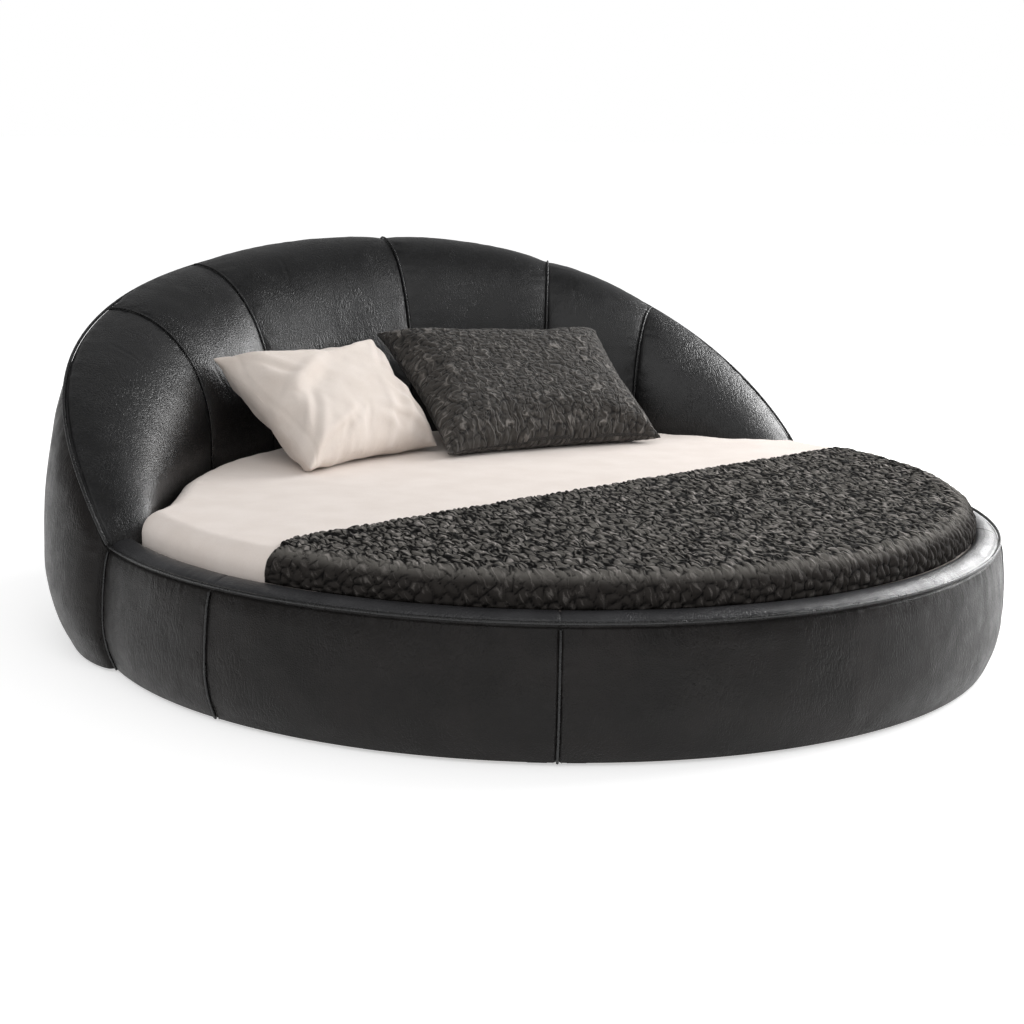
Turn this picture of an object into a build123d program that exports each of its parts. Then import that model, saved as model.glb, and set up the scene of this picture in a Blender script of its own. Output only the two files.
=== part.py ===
from build123d import *
import math
import os

# Round bed. Origin at the centre of the round base, on the floor.
# +Y points at the middle seam of the headboard, -Y at the foot, +Z up. Millimetres.
# A bearing is a plan angle in degrees from +Y, positive towards -X.

# Mattress and sheet
mattress_diameter = 2100.0
mattress_thickness = 200.0
mattress_shoulder = 45.0
mattress_corner_radius = 60.0
sheet_thickness = 3.0
sheet_skirt_lift = 25.0
cloth_clearance = 0.3
mattress_gap = 5.0
head_gap = 11.0

# Heights of the base
glide_height = 8.0
rim_seam_height = 299.0
rim_crest_rise = 17.0
platform_drop = 124.0
rim_width = 57.0

# Outer form of the base
base_bulge = 20.0
base_bulge_height_share = 0.43
base_tuck = 10.0

# Headboard form
left_end_bearing = 89.3
right_end_bearing = -69.7
seam_bearings = (48.0, 29.1, -2.0, -27.5, -44.0)
headboard_rise = 608.0
face_set_in = 162.0
face_swell_power = 3.05
left_rise_power = 1.75
left_rise_root = 1.46
right_rise_power = 2.2
right_rise_root = 1.17
bend_share = 0.27
left_crest_lean = 74.0
right_crest_lean = -3.0
crest_swell_power = 2.9
blend_bearing = 45.0
edge_roll = 18.0
edge_roll_at_end = 6.0
edge_drop = 6.0
edge_drop_at_end = 2.0
left_shell_bulge = 120.0
right_shell_bulge = 76.0
shell_bulge_drop = 66.0
shell_swell_power = 6.0
shell_tuck_share = 0.72
diagonal_share = math.sqrt(0.5)

# Upholstery of the headboard
pad_thickness = 70.0
pad_thickness_at_end = 22.0
channel_crown = 26.0
channel_crown_top_share = 0.35
pad_edge_depth = 22.0
pad_edge_slope_share = 0.6
cover_thickness = 18.0
cover_foot_thickness = 12.0
piece_gap = 0.4
edge_gap = 0.65
welt_diameter = 6.0
piping_diameter = 8.0
piping_out_share = 0.85
welt_gap = 0.8

# Timber
rail_thickness = 18.0
rail_tongue_drop = 5.0
rail_top_drop = 17.0
rim_flap_thickness = 8.0
rim_flap_lift = 45.0
rim_roll = 12.0
board_thickness = 9.0
rib_thickness = 18.0
rib_margin = 5.0
end_rib_margin = 12.0
left_end_rib_bearing = 84.3
left_rib_bearing = 65.0
right_end_rib_bearing = -64.6
ledger_width = 35.0
ledger_height = 40.0
slat_width = 70.0
slat_thickness = 19.0
slat_pitch = 112.0
slat_margin = 3.0
head_rail_gap = 8.3
beam_width = 45.0
beam_height = 70.0
leg_diameter = 45.0
foot_leg_distance = 391.0
head_leg_distance = 194.0
glide_length = 40.0
glide_width = 16.0
leg_glide_diameter = 36.0

# Hardware
splice_length = 130.0
splice_height = 48.0
splice_thickness = 5.0
splice_lift = 4.0
bolt_diameter = 8.0
bolt_head_diameter = 15.0
bolt_head_height = 3.0
bolt_head_gap = 0.1
bolt_spacing = 70.0
bolt_hole_gap = 0.2
hanger_thickness = 3.0
hanger_length = 60.0
splice_bolt_reach = 4.0

# Seams of the base, as bearings, from the left end round the foot to the right end
base_seam_bearings = (113.2, 153.9, 233.2)

# Throw
throw_thickness = 12.0
throw_edge_offset = -153.0
throw_edge_turn = 16.8
throw_hem_clearance = 1.5

# Pillows
light_pillow_length = 590.0
light_pillow_height = 460.0
light_pillow_thickness = 150.0
light_pillow_bearing = 26.9
light_pillow_upper_turn = 22.0
light_pillow_lower_turn = 26.5
light_pillow_skew = -76.0
light_pillow_bottom_share = 0.89
dark_pillow_length = 660.0
dark_pillow_height = 500.0
dark_pillow_thickness = 150.0
dark_pillow_bearing = -15.3
dark_pillow_upper_turn = -11.0
dark_pillow_lower_turn = 3.0
dark_pillow_skew = 42.0
dark_pillow_bottom_share = 1.04
pillow_back_gap = 4.0
pillow_lean = 57.5
pillow_edge_thickness = 10.0
pillow_draw_in_share = 0.05
pillow_section_shares = (0.0, 0.06, 0.2, 0.5, 0.8, 0.94, 1.0)

# Worked-out places
platform_height = rim_seam_height - platform_drop
base_bulge_height = base_bulge_height_share * rim_seam_height
shell_bulge_height = rim_seam_height - shell_bulge_drop
rim_flap_bottom = platform_height + rim_flap_lift
mattress_radius = mattress_diameter / 2
sheet_radius = mattress_radius + cloth_clearance + sheet_thickness
rim_inner_radius = sheet_radius + mattress_gap
rim_seam_radius = rim_inner_radius + rim_width
rim_inner_height = rim_seam_height + rim_crest_rise
rail_top = rim_seam_height - rail_top_drop
bulge_radius = rim_seam_radius + base_bulge
floor_radius = rim_seam_radius - base_tuck
rail_inner_radius = rim_inner_radius + rim_flap_thickness + piece_gap
rail_outer_radius = rail_inner_radius + rail_thickness
mattress_top = platform_height + mattress_thickness
sheet_top = mattress_top + cloth_clearance + sheet_thickness
head_rail_radius = rim_inner_radius - face_set_in - head_rail_gap
ledger_top = platform_height - slat_thickness
ledger_bottom = ledger_top - ledger_height
panel_bearings = (left_end_bearing,) + base_seam_bearings + (360.0 + right_end_bearing,)


def end_share(bearing):
    """How far a bearing lies towards its end of the headboard, 0 in the middle and 1 at the end."""
    end = left_end_bearing if bearing >= 0 else -right_end_bearing
    return min(abs(bearing) / end, 1.0)


def swell(bearing, power):
    """1 in the middle of the headboard, falling to 0 at its ends."""
    return math.sqrt(1 - end_share(bearing) ** power)


def rise(bearing):
    """The arch of the crest as a share of its full rise."""
    if bearing >= 0:
        return (1 - end_share(bearing) ** left_rise_power) ** (1 / left_rise_root)
    return (1 - end_share(bearing) ** right_rise_power) ** (1 / right_rise_root)


def from_right_to_left(bearing, right, left):
    """A value that changes smoothly from the right half to the left half."""
    share = min(max((bearing + blend_bearing) / (2 * blend_bearing), 0), 1)
    return right + (left - right) * share ** 2 * (3 - 2 * share)


def face_radius(bearing):
    return rim_inner_radius - face_set_in * swell(bearing, face_swell_power)


def edge_point(bearing):
    """The seam where the channels meet the back cover, as radius and height."""
    lean = from_right_to_left(bearing, right_crest_lean, left_crest_lean) + edge_roll
    radius = rim_seam_radius + lean * swell(bearing, crest_swell_power)
    return radius, rim_seam_height + (headboard_rise - edge_drop) * rise(bearing)


def crest_point(bearing):
    radius, height = edge_point(bearing)
    roll = edge_roll_at_end + edge_roll * swell(bearing, crest_swell_power)
    return radius - roll, height + edge_drop_at_end + edge_drop * rise(bearing)


def bulge_point(bearing):
    share = swell(bearing, shell_swell_power)
    bulge = from_right_to_left(bearing, right_shell_bulge, left_shell_bulge) * share
    return bulge_radius + bulge, base_bulge_height + (shell_bulge_height - base_bulge_height) * share


def foot_point(bearing):
    bulge = bulge_point(bearing)[0] - bulge_radius
    return floor_radius + shell_tuck_share * bulge, glide_height


def upper_middle(bearing):
    """The point half-way round the upper back, between crest and bulge."""
    crest = crest_point(bearing)
    bulge = bulge_point(bearing)
    return (
        crest[0] + diagonal_share * (bulge[0] - crest[0]),
        bulge[1] + diagonal_share * (crest[1] - bulge[1]),
    )


def inner_edge_point(bearing):
    """The inner end of the cut between channel pad and back cover."""
    radius, height = edge_point(bearing)
    slope = pad_edge_slope_share
    return radius - slope * pad_edge_depth, height - math.sqrt(1 - slope ** 2) * pad_edge_depth


def pad_depth(bearing):
    return pad_thickness_at_end + (pad_thickness - pad_thickness_at_end) * rise(bearing)


def shifted(point, across, up=0.0):
    return point[0] + across, point[1] + up


def radial_plane(bearing, twist=90.0):
    """The upright half-plane at a bearing: local X outwards, local Y up."""
    angle = math.radians(twist + bearing)
    outwards = (math.cos(angle), math.sin(angle), 0)
    return Plane(origin=(0, 0, 0), x_dir=outwards, z_dir=(math.sin(angle), -math.cos(angle), 0))


def plan(bearing, radius):
    angle = math.radians(90 + bearing)
    return radius * math.cos(angle), radius * math.sin(angle)


def even(first, last, count):
    return [first + (last - first) * step / (count - 1) for step in range(count)]


def towards_end(first, end, count):
    """Bearings that crowd together towards an end of the headboard, where its form turns fastest."""
    start = math.asin(first / end)
    return [end * math.sin(turn) for turn in even(start, math.pi / 2, count)]


def pad_section(bearing, crown):
    """Front face, crest and hollow back of a channel pad at one bearing."""
    face = face_radius(bearing) - crown
    crest_radius, crest_height = crest_point(bearing)
    top = crest_height + crown * channel_crown_top_share
    bend = rim_seam_height + bend_share * (crest_height - rim_seam_height)
    depth = pad_depth(bearing)
    back = face_radius(bearing) + depth
    under = crest_height - depth
    under_radius = min(crest_radius, inner_edge_point(bearing)[0] - piece_gap)
    back_bend = platform_height + bend_share * (under - platform_height)
    with BuildSketch(radial_plane(bearing)) as section:
        with BuildLine():
            Line((face, platform_height), (face, bend))
            EllipticalCenterArc(
                center=(crest_radius, bend),
                x_radius=crest_radius - face,
                y_radius=top - bend,
                start_angle=90,
                arc_size=90,
            )
            TangentArc((crest_radius, top), edge_point(bearing), tangent=(1, 0))
            Line(edge_point(bearing), inner_edge_point(bearing))
            Line(inner_edge_point(bearing), (under_radius, under))
            EllipticalCenterArc(
                center=(under_radius, back_bend),
                x_radius=under_radius - back,
                y_radius=under - back_bend,
                start_angle=90,
                arc_size=90,
            )
            Line((back, back_bend), (back, platform_height))
            Line((back, platform_height), (face, platform_height))
        make_face()
    return section.sketch


def board_section(bearing, front, thickness):
    """The bent board behind the pads, from one offset behind them to the next."""
    crest_radius, crest_height = crest_point(bearing)
    depth = pad_depth(bearing)
    face = face_radius(bearing) + depth + front
    under = crest_height - depth - front
    back_bend = platform_height + bend_share * (crest_height - depth - platform_height)
    with BuildSketch(radial_plane(bearing)) as section:
        with BuildLine():
            Line((face, platform_height), (face, back_bend))
            EllipticalCenterArc(
                center=(crest_radius, back_bend),
                x_radius=crest_radius - face,
                y_radius=under - back_bend,
                start_angle=90,
                arc_size=90,
            )
            Line((crest_radius, under), (crest_radius, under - thickness))
            EllipticalCenterArc(
                center=(crest_radius, back_bend),
                x_radius=crest_radius - face - thickness,
                y_radius=under - thickness - back_bend,
                start_angle=90,
                arc_size=90,
            )
            Line((face + thickness, back_bend), (face + thickness, platform_height))
            Line((face + thickness, platform_height), (face, platform_height))
        make_face()
    return section.sketch


def turned_tangent(start, end, tangent):
    """The direction in which an arc that leaves start along tangent arrives at end."""
    chord = (end[0] - start[0], end[1] - start[1])
    along = 2 * (chord[0] * tangent[0] + chord[1] * tangent[1]) / (chord[0] ** 2 + chord[1] ** 2)
    return along * chord[0] - tangent[0], along * chord[1] - tangent[1]


def outer_profile(bearing, across, edge):
    """Two arcs up from the bulge to the edge seam, and one down to the foot, moved out by across."""
    bulge = shifted(bulge_point(bearing), across)
    middle = shifted(upper_middle(bearing), across)
    foot_across = across if across > -cover_thickness else -cover_foot_thickness
    TangentArc(bulge, middle, tangent=(0, 1))
    TangentArc(middle, edge, tangent=turned_tangent(bulge, middle, (0, 1)))
    TangentArc(bulge, shifted(foot_point(bearing), foot_across), tangent=(0, -1))


def cover_section(bearing):
    """The back cover from the edge seam over the bulge to the floor."""
    edge = shifted(edge_point(bearing), edge_gap, -edge_gap)
    inner_edge = shifted(inner_edge_point(bearing), edge_gap, -edge_gap)
    foot = foot_point(bearing)
    with BuildSketch(radial_plane(bearing)) as section:
        with BuildLine():
            outer_profile(bearing, 0, edge)
            outer_profile(bearing, -cover_thickness, inner_edge)
            Line(foot, shifted(foot, -cover_foot_thickness))
            Line(inner_edge, edge)
        make_face()
    return section.sketch


os.makedirs("parts", exist_ok=True)


def save(piece, name):
    piece.label = name
    export_step(piece, f"parts/{name}.step")


def circle_on(point, direction, radius):
    """A round section across a path, with its start turned outwards so that a loft doesn't twist."""
    outwards = Vector(point.X, point.Y, 0).normalized()
    with BuildSketch(Plane(origin=point, x_dir=outwards, z_dir=direction)) as section:
        Circle(radius)
    return section.sketch


# Headboard channels, numbered from the left end; channels and back cover share their section bearings
end_section_count = 8
middle_section_count = 5
channel_bearings = [towards_end(seam_bearings[0], left_end_bearing, end_section_count)]
for first, last in zip(seam_bearings[:-1], seam_bearings[1:]):
    channel_bearings.append(even(first, last, middle_section_count))
channel_bearings.append(towards_end(seam_bearings[-1], right_end_bearing, end_section_count))
for number, bearings in enumerate(channel_bearings, start=1):
    at_end = number in (1, len(channel_bearings))
    with BuildPart() as headboard_channel:
        for bearing in bearings:
            share = (bearing - bearings[0]) / (bearings[-1] - bearings[0])
            crown = channel_crown * math.sin(math.pi * share)
            if at_end:
                crown = crown * (1 - share)
            add(pad_section(bearing, crown))
        loft(ruled=True)
    save(headboard_channel.part, f"headboard_channel_{number}")

# Welts that lie in the valleys between the channels
welt_radius = welt_diameter / 2
welt_stand = welt_radius + welt_gap
piping_radius = piping_diameter / 2
piping_stand = piping_radius + welt_gap
for number, bearing in enumerate(seam_bearings, start=1):
    face = face_radius(bearing)
    crest_radius, crest_height = crest_point(bearing)
    bend = rim_seam_height + bend_share * (crest_height - rim_seam_height)
    start = (face - welt_stand, sheet_top)
    top = crest_height + welt_stand
    roll = edge_point(bearing)[0] - crest_radius
    drop = crest_height - edge_point(bearing)[1]
    roll_radius = (roll ** 2 + drop ** 2) / (2 * drop) + welt_stand
    reach = roll - piping_diameter - welt_diameter
    finish = (crest_radius + reach, top - roll_radius + math.sqrt(roll_radius ** 2 - reach ** 2))
    with BuildPart() as channel_welt:
        with BuildLine(radial_plane(bearing)) as path:
            Line(start, (face - welt_stand, bend))
            EllipticalCenterArc(
                center=(crest_radius, bend),
                x_radius=crest_radius - face + welt_stand,
                y_radius=top - bend,
                start_angle=90,
                arc_size=90,
            )
            TangentArc((crest_radius, top), finish, tangent=(1, 0))
        with BuildSketch(Plane(origin=path.line @ 0, z_dir=path.line % 0)):
            Circle(welt_radius)
        sweep()
    save(channel_welt.part, f"channel_welt_{number}")


# Piping along the edge seam, from the right end over the crest to the left end
def edge_place(bearing):
    radius, height = edge_point(bearing)
    return Vector(*plan(bearing, radius), height)


def edge_direction(bearing):
    """Along the edge seam, from right to left."""
    before = edge_place(max(bearing - piping_step, right_end_bearing))
    after = edge_place(min(bearing + piping_step, left_end_bearing))
    return (after - before).normalized()


def piping_place(bearing):
    """Just off the seam, midway between the face of the pad and the face of the cover."""
    outwards = Vector(*plan(bearing, 1), 0)
    over = outwards.cross(edge_direction(bearing)).normalized()
    away = outwards * piping_out_share + over * math.sqrt(1 - piping_out_share ** 2)
    return edge_place(bearing) + away * piping_stand


piping_step = 0.02
board_skip_count = 2
edge_bearings = channel_bearings[0][::-1]
for bearings in channel_bearings[1:]:
    edge_bearings = edge_bearings + bearings[1:]
with BuildPart() as edge_piping:
    for bearing in edge_bearings:
        add(circle_on(piping_place(bearing), edge_direction(bearing), piping_radius))
    loft(ruled=True)
save(edge_piping.part, "edge_piping")

# Back cover in three panels
back_seams = (seam_bearings[1], seam_bearings[3])
back_bearings = (
    channel_bearings[1][:0:-1] + channel_bearings[0],
    channel_bearings[2] + channel_bearings[3][1:],
    channel_bearings[4] + channel_bearings[5][1:],
)
for number, bearings in enumerate(back_bearings, start=1):
    with BuildPart() as back_panel:
        for bearing in bearings:
            add(cover_section(bearing))
        loft(ruled=True)
    save(back_panel.part, f"back_panel_{number}")

# Bent board that carries the channels, a little short of both ends
with BuildPart() as headboard_board:
    for bearing in edge_bearings[board_skip_count:-board_skip_count]:
        add(board_section(bearing, piece_gap, board_thickness))
    loft(ruled=True)
save(headboard_board.part, "headboard_board")

# Rails of bent plywood under the rim, with a low tongue into each end of the headboard
left_rib_face = left_end_rib_bearing + math.degrees(rib_thickness / 2 / rail_inner_radius)
right_rib_face = 360.0 + right_end_rib_bearing - math.degrees(rib_thickness / 2 / rail_inner_radius)
tongue_top = platform_height - rail_tongue_drop


def ring_arc(first, last, inner, outer, bottom, top):
    """A band of a ring between two bearings."""
    with BuildSketch(radial_plane(first)) as band:
        with Locations(((inner + outer) / 2, (bottom + top) / 2)):
            Rectangle(outer - inner, top - bottom)
    revolve(band.sketch, axis=Axis.Z, revolution_arc=last - first)


def bolt_bearings(seam, radius):
    """Two bolts on each side of a joint between two rails."""
    step = math.degrees(bolt_spacing / 2 / radius)
    return (seam - 1.5 * step, seam - 0.5 * step, seam + 0.5 * step, seam + 1.5 * step)


splice_middle = ledger_top + splice_lift + splice_height / 2
splice_radius = rail_inner_radius - splice_thickness


def bolt_plane(bearing, radius):
    return Plane(
        origin=(*plan(bearing, radius), splice_middle),
        z_dir=(*plan(bearing, 1), 0),
    )


bolt_hole_radius = bolt_diameter / 2 + bolt_hole_gap
for number in range(1, len(panel_bearings)):
    first = panel_bearings[number - 1]
    last = panel_bearings[number]
    with BuildPart() as base_rail:
        ring_arc(first, last, rail_inner_radius, rail_outer_radius, glide_height, rail_top)
        if number == 1:
            ring_arc(left_rib_face, first, rail_inner_radius, rail_outer_radius, glide_height, tongue_top)
        if number == len(panel_bearings) - 1:
            ring_arc(last, right_rib_face, rail_inner_radius, rail_outer_radius, glide_height, tongue_top)
        for seam in base_seam_bearings:
            for bearing in bolt_bearings(seam, rail_inner_radius):
                if first < bearing < last:
                    with BuildSketch(bolt_plane(bearing, rail_inner_radius - splice_thickness)):
                        Circle(bolt_hole_radius)
                    extrude(amount=splice_thickness + rail_thickness * 2, mode=Mode.SUBTRACT)
    save(base_rail.part, f"base_rail_{number}")

# Foam and leather side panels of the base, and the padded rim above them
base_edge = edge_point(left_end_bearing)
rim_crest = (rim_inner_radius + rim_roll, rim_inner_height)
for number in range(1, len(panel_bearings)):
    first = panel_bearings[number - 1]
    last = panel_bearings[number]
    with BuildPart() as side_panel:
        with BuildSketch(radial_plane(first)) as panel_outline:
            with BuildLine():
                outer_profile(left_end_bearing, 0, base_edge)
                Line(foot_point(left_end_bearing), (rail_outer_radius + piece_gap, glide_height))
                Line((rail_outer_radius + piece_gap, glide_height), (rail_outer_radius + piece_gap, rail_top))
                Line((rail_outer_radius + piece_gap, rail_top), base_edge)
            make_face()
        revolve(axis=Axis.Z, revolution_arc=last - first)
    save(side_panel.part, f"side_panel_{number}")

    seam = shifted(base_edge, 0, piece_gap)
    seat = rail_top + piece_gap
    flap_back = rim_inner_radius + rim_flap_thickness
    with BuildPart() as rim_pad:
        with BuildSketch(radial_plane(first)) as rim_outline:
            with BuildLine():
                TangentArc(rim_crest, seam, tangent=(1, 0))
                TangentArc(shifted(rim_crest, -rim_roll, -rim_roll), rim_crest, tangent=(0, 1))
                Line(shifted(rim_crest, -rim_roll, -rim_roll), (rim_inner_radius, rim_flap_bottom))
                Line((rim_inner_radius, rim_flap_bottom), (flap_back, rim_flap_bottom))
                Line((flap_back, rim_flap_bottom), (flap_back, seat))
                Line((flap_back, seat), (rail_outer_radius, seat))
                Line((rail_outer_radius, seat), seam)
            make_face()
        revolve(axis=Axis.Z, revolution_arc=last - first)
    save(rim_pad.part, f"rim_pad_{number}")

# Piping along the rim seam, over the welts' upper ends
rim_out = piping_out_share * piping_stand
rim_up = math.sqrt(1 - piping_out_share ** 2) * piping_stand
piping_start = left_end_bearing + math.degrees(piping_diameter / rim_seam_radius)
piping_finish = 360.0 + right_end_bearing - math.degrees(piping_diameter / rim_seam_radius)
with BuildPart() as rim_piping:
    with BuildSketch(radial_plane(piping_start)):
        with Locations(shifted(base_edge, rim_out, rim_up)):
            Circle(piping_radius)
    revolve(axis=Axis.Z, revolution_arc=piping_finish - piping_start)
save(rim_piping.part, "rim_piping")


def off(point, tangent, distance):
    """A point moved square to a path, to the right of its direction."""
    return shifted(point, tangent[1] * distance, -tangent[0] * distance)


def upright_welt(bearing, profile_bearing):
    """A welt up the outside of the base or the back, from the floor end to just below the piping."""
    bulge = bulge_point(profile_bearing)
    middle = upper_middle(profile_bearing)
    foot = foot_point(profile_bearing)
    edge = edge_point(profile_bearing)
    foot_tangent = turned_tangent(bulge, foot, (0, -1))
    middle_tangent = turned_tangent(bulge, middle, (0, 1))
    edge_tangent = turned_tangent(middle, edge, middle_tangent)
    start = off(bulge, (0, 1), welt_stand)
    half_way = off(middle, middle_tangent, welt_stand)
    with BuildPart() as welt:
        with BuildLine(radial_plane(bearing)) as path:
            TangentArc(start, off(foot, foot_tangent, -welt_stand), tangent=(0, -1))
            TangentArc(start, half_way, tangent=(0, 1))
            TangentArc(half_way, off(edge, edge_tangent, welt_stand), tangent=middle_tangent)
        line = path.wires()[0]
        with BuildSketch(Plane(origin=line @ 0, z_dir=line % 0)):
            Circle(welt_radius)
        sweep(path=line)
        upper_end = (
            edge[0] - edge_tangent[0] * welt_end_distance,
            edge[1] - edge_tangent[1] * welt_end_distance,
            0,
        )
        cut = radial_plane(bearing)
        cut_direction = cut.from_local_coords(Vector(*edge_tangent, 0))
        split(bisect_by=Plane(origin=cut.from_local_coords(Vector(*upper_end)), z_dir=cut_direction), keep=Keep.BOTTOM)
    return welt.part


welt_end_distance = piping_diameter + welt_diameter / 2
end_welt_turn = math.degrees(welt_stand / bulge_radius)
base_welt_bearings = (left_end_bearing + end_welt_turn,) + base_seam_bearings + (panel_bearings[-1] - end_welt_turn,)
for number, bearing in enumerate(base_welt_bearings, start=1):
    save(upright_welt(bearing, left_end_bearing), f"base_welt_{number}")
for number, bearing in enumerate(back_seams, start=1):
    save(upright_welt(bearing, bearing), f"back_welt_{number}")

# Steel plates and bolts that join the rails
with BuildPart() as splice_plates:
    for seam in base_seam_bearings:
        half = math.degrees(splice_length / 2 / rail_inner_radius)
        bottom = splice_middle - splice_height / 2
        ring_arc(seam - half, seam + half, splice_radius, rail_inner_radius, bottom, bottom + splice_height)
        for bearing in bolt_bearings(seam, rail_inner_radius):
            with BuildSketch(bolt_plane(bearing, splice_radius - splice_thickness)):
                Circle(bolt_hole_radius)
            extrude(amount=splice_thickness * 3, mode=Mode.SUBTRACT)
save(splice_plates.part, "splice_plates")

head_radius = splice_radius - bolt_head_height - bolt_head_gap
with BuildPart() as splice_bolts:
    for seam in base_seam_bearings:
        for bearing in bolt_bearings(seam, rail_inner_radius):
            with BuildSketch(bolt_plane(bearing, head_radius)):
                Circle(bolt_head_diameter / 2)
            extrude(amount=bolt_head_height)
            with BuildSketch(bolt_plane(bearing, head_radius)):
                Circle(bolt_diameter / 2)
            extrude(amount=bolt_head_height + splice_thickness + rail_thickness - splice_bolt_reach)
save(splice_bolts.part, "splice_bolts")

# Rail under the headboard, and ledgers inside all rails that carry the slats
head_rail_inner = head_rail_radius - rail_thickness
left_head_end = left_end_rib_bearing - math.degrees(rib_thickness / 2 / head_rail_inner)
right_head_end = right_end_rib_bearing + math.degrees(rib_thickness / 2 / head_rail_inner)
with BuildPart() as head_rail:
    ring_arc(right_head_end, left_head_end, head_rail_inner, head_rail_radius, glide_height, tongue_top)
save(head_rail.part, "head_rail")

ledger_inner = rail_inner_radius - ledger_width
head_ledger_inner = head_rail_inner - ledger_width
ledger_rib_turn = math.degrees((rib_thickness / 2 + piece_gap) / ledger_inner)
ledger_gap_turn = math.degrees(piece_gap / ledger_inner)
ledger_bearings = (
    left_end_rib_bearing + ledger_rib_turn,
    *base_seam_bearings,
    360.0 + right_end_rib_bearing - ledger_rib_turn,
)
with BuildPart() as slat_ledgers:
    for first, last in zip(ledger_bearings[:-1], ledger_bearings[1:]):
        ring_arc(first, last - ledger_gap_turn, ledger_inner, rail_inner_radius, ledger_bottom, ledger_top)
    ring_arc(right_head_end, left_head_end, head_ledger_inner, head_rail_inner, ledger_bottom, ledger_top)
save(slat_ledgers.part, "slat_ledgers")


def rib_outline(bearing, inner, margin):
    """An upright rib between the board of the channels and the back cover."""
    crest_radius, crest_height = crest_point(bearing)
    depth = pad_depth(bearing)
    front = depth + board_thickness + 2 * piece_gap
    face = face_radius(bearing) + front + margin
    under = crest_height - front - margin
    bend = platform_height + bend_share * (crest_height - depth - platform_height)
    edge = shifted(inner_edge_point(bearing), -piece_gap, -board_thickness - 2 * margin)
    top_radius = min(crest_radius, edge[0] - piece_gap)
    bulge = shifted(bulge_point(bearing), -cover_thickness - margin)
    middle = shifted(upper_middle(bearing), -cover_thickness - margin)
    foot = shifted(foot_point(bearing), -cover_foot_thickness - margin)
    with BuildSketch(radial_plane(bearing)) as outline:
        with BuildLine():
            TangentArc(bulge, middle, tangent=(0, 1))
            TangentArc(middle, edge, tangent=turned_tangent(bulge, middle, (0, 1)))
            TangentArc(bulge, foot, tangent=(0, -1))
            Line(foot, (inner, glide_height))
            Line((inner, glide_height), (inner, tongue_top))
            Line((inner, tongue_top), (face, tongue_top))
            Line((face, tongue_top), (face, bend))
            EllipticalCenterArc(
                center=(top_radius, bend),
                x_radius=top_radius - face,
                y_radius=under - bend,
                start_angle=90,
                arc_size=90,
            )
            Line((top_radius, under), edge)
        make_face()
    return outline.sketch


# Plywood ribs of the headboard, at the seams, at one side and at both ends
rib_bearings = (left_end_rib_bearing, left_rib_bearing) + seam_bearings + (right_end_rib_bearing,)
for number, bearing in enumerate(rib_bearings, start=1):
    at_end = bearing in (left_end_rib_bearing, right_end_rib_bearing)
    inner = head_rail_inner if at_end else head_rail_radius + piece_gap
    margin = end_rib_margin if at_end else rib_margin
    with BuildPart() as headboard_rib:
        extrude(rib_outline(bearing, inner, margin), amount=rib_thickness / 2, both=True)
    save(headboard_rib.part, f"headboard_rib_{number}")

# Slats across the bed, each cut to the ring that it lies on
def slat_end(low, high, end_rib):
    """How far a slat reaches to one side before it meets the plates on the rail or the head rail."""
    angle = math.radians(end_rib)
    corner = head_rail_inner * math.cos(angle) - rib_thickness / 2 * abs(math.sin(angle)) - slat_margin
    radius = splice_radius - bolt_head_height if high < corner else head_rail_inner
    far = max(abs(low), abs(high))
    return math.sqrt((radius - slat_margin) ** 2 - far ** 2)


slat_rows = int((rail_inner_radius - ledger_width) // slat_pitch)
with BuildPart() as slats:
    for row in range(-slat_rows, slat_rows + 1):
        low = row * slat_pitch - slat_width / 2
        high = low + slat_width
        if high < head_rail_inner - ledger_width:
            left = -slat_end(low, high, left_end_rib_bearing)
            right = slat_end(low, high, right_end_rib_bearing)
            with BuildSketch(Plane.XY.offset(ledger_top)):
                with Locations(((left + right) / 2, (low + high) / 2)):
                    Rectangle(right - left, slat_width)
            extrude(amount=slat_thickness)
save(slats.part, "slats")

# Middle beam with its hangers and legs
beam_bottom = ledger_top - beam_height
beam_foot_end = -math.sqrt(ledger_inner ** 2 - (beam_width / 2) ** 2) + piece_gap
beam_head_end = math.sqrt(head_ledger_inner ** 2 - (beam_width / 2) ** 2) - piece_gap
with BuildPart() as middle_beam:
    with BuildSketch(Plane.XY.offset(beam_bottom)):
        with Locations((0, (beam_foot_end + beam_head_end) / 2)):
            Rectangle(beam_width, beam_head_end - beam_foot_end)
    extrude(amount=beam_height)
save(middle_beam.part, "middle_beam")

with BuildPart() as beam_hangers:
    for end, inwards in ((beam_foot_end, 1), (beam_head_end, -1)):
        middle = end + inwards * hanger_length / 2
        with BuildSketch(Plane.XY.offset(beam_bottom - hanger_thickness)):
            with Locations((0, middle)):
                Rectangle(beam_width + 2 * hanger_thickness, hanger_length)
        extrude(amount=beam_height)
        with BuildSketch(Plane.XY.offset(beam_bottom)):
            with Locations((0, middle)):
                Rectangle(beam_width, hanger_length)
        extrude(amount=beam_height, mode=Mode.SUBTRACT)
save(beam_hangers.part, "beam_hangers")

leg_places = ((0, 0), (0, beam_foot_end + foot_leg_distance), (0, beam_head_end - head_leg_distance))
with BuildPart() as beam_legs:
    with BuildSketch(Plane.XY.offset(glide_height)):
        with Locations(*leg_places):
            Circle(leg_diameter / 2)
    extrude(amount=beam_bottom - glide_height)
save(beam_legs.part, "beam_legs")

with BuildPart() as leg_glides:
    with BuildSketch(Plane.XY):
        with Locations(*leg_places):
            Circle(leg_glide_diameter / 2)
    extrude(amount=glide_height)
save(leg_glides.part, "leg_glides")

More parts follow.
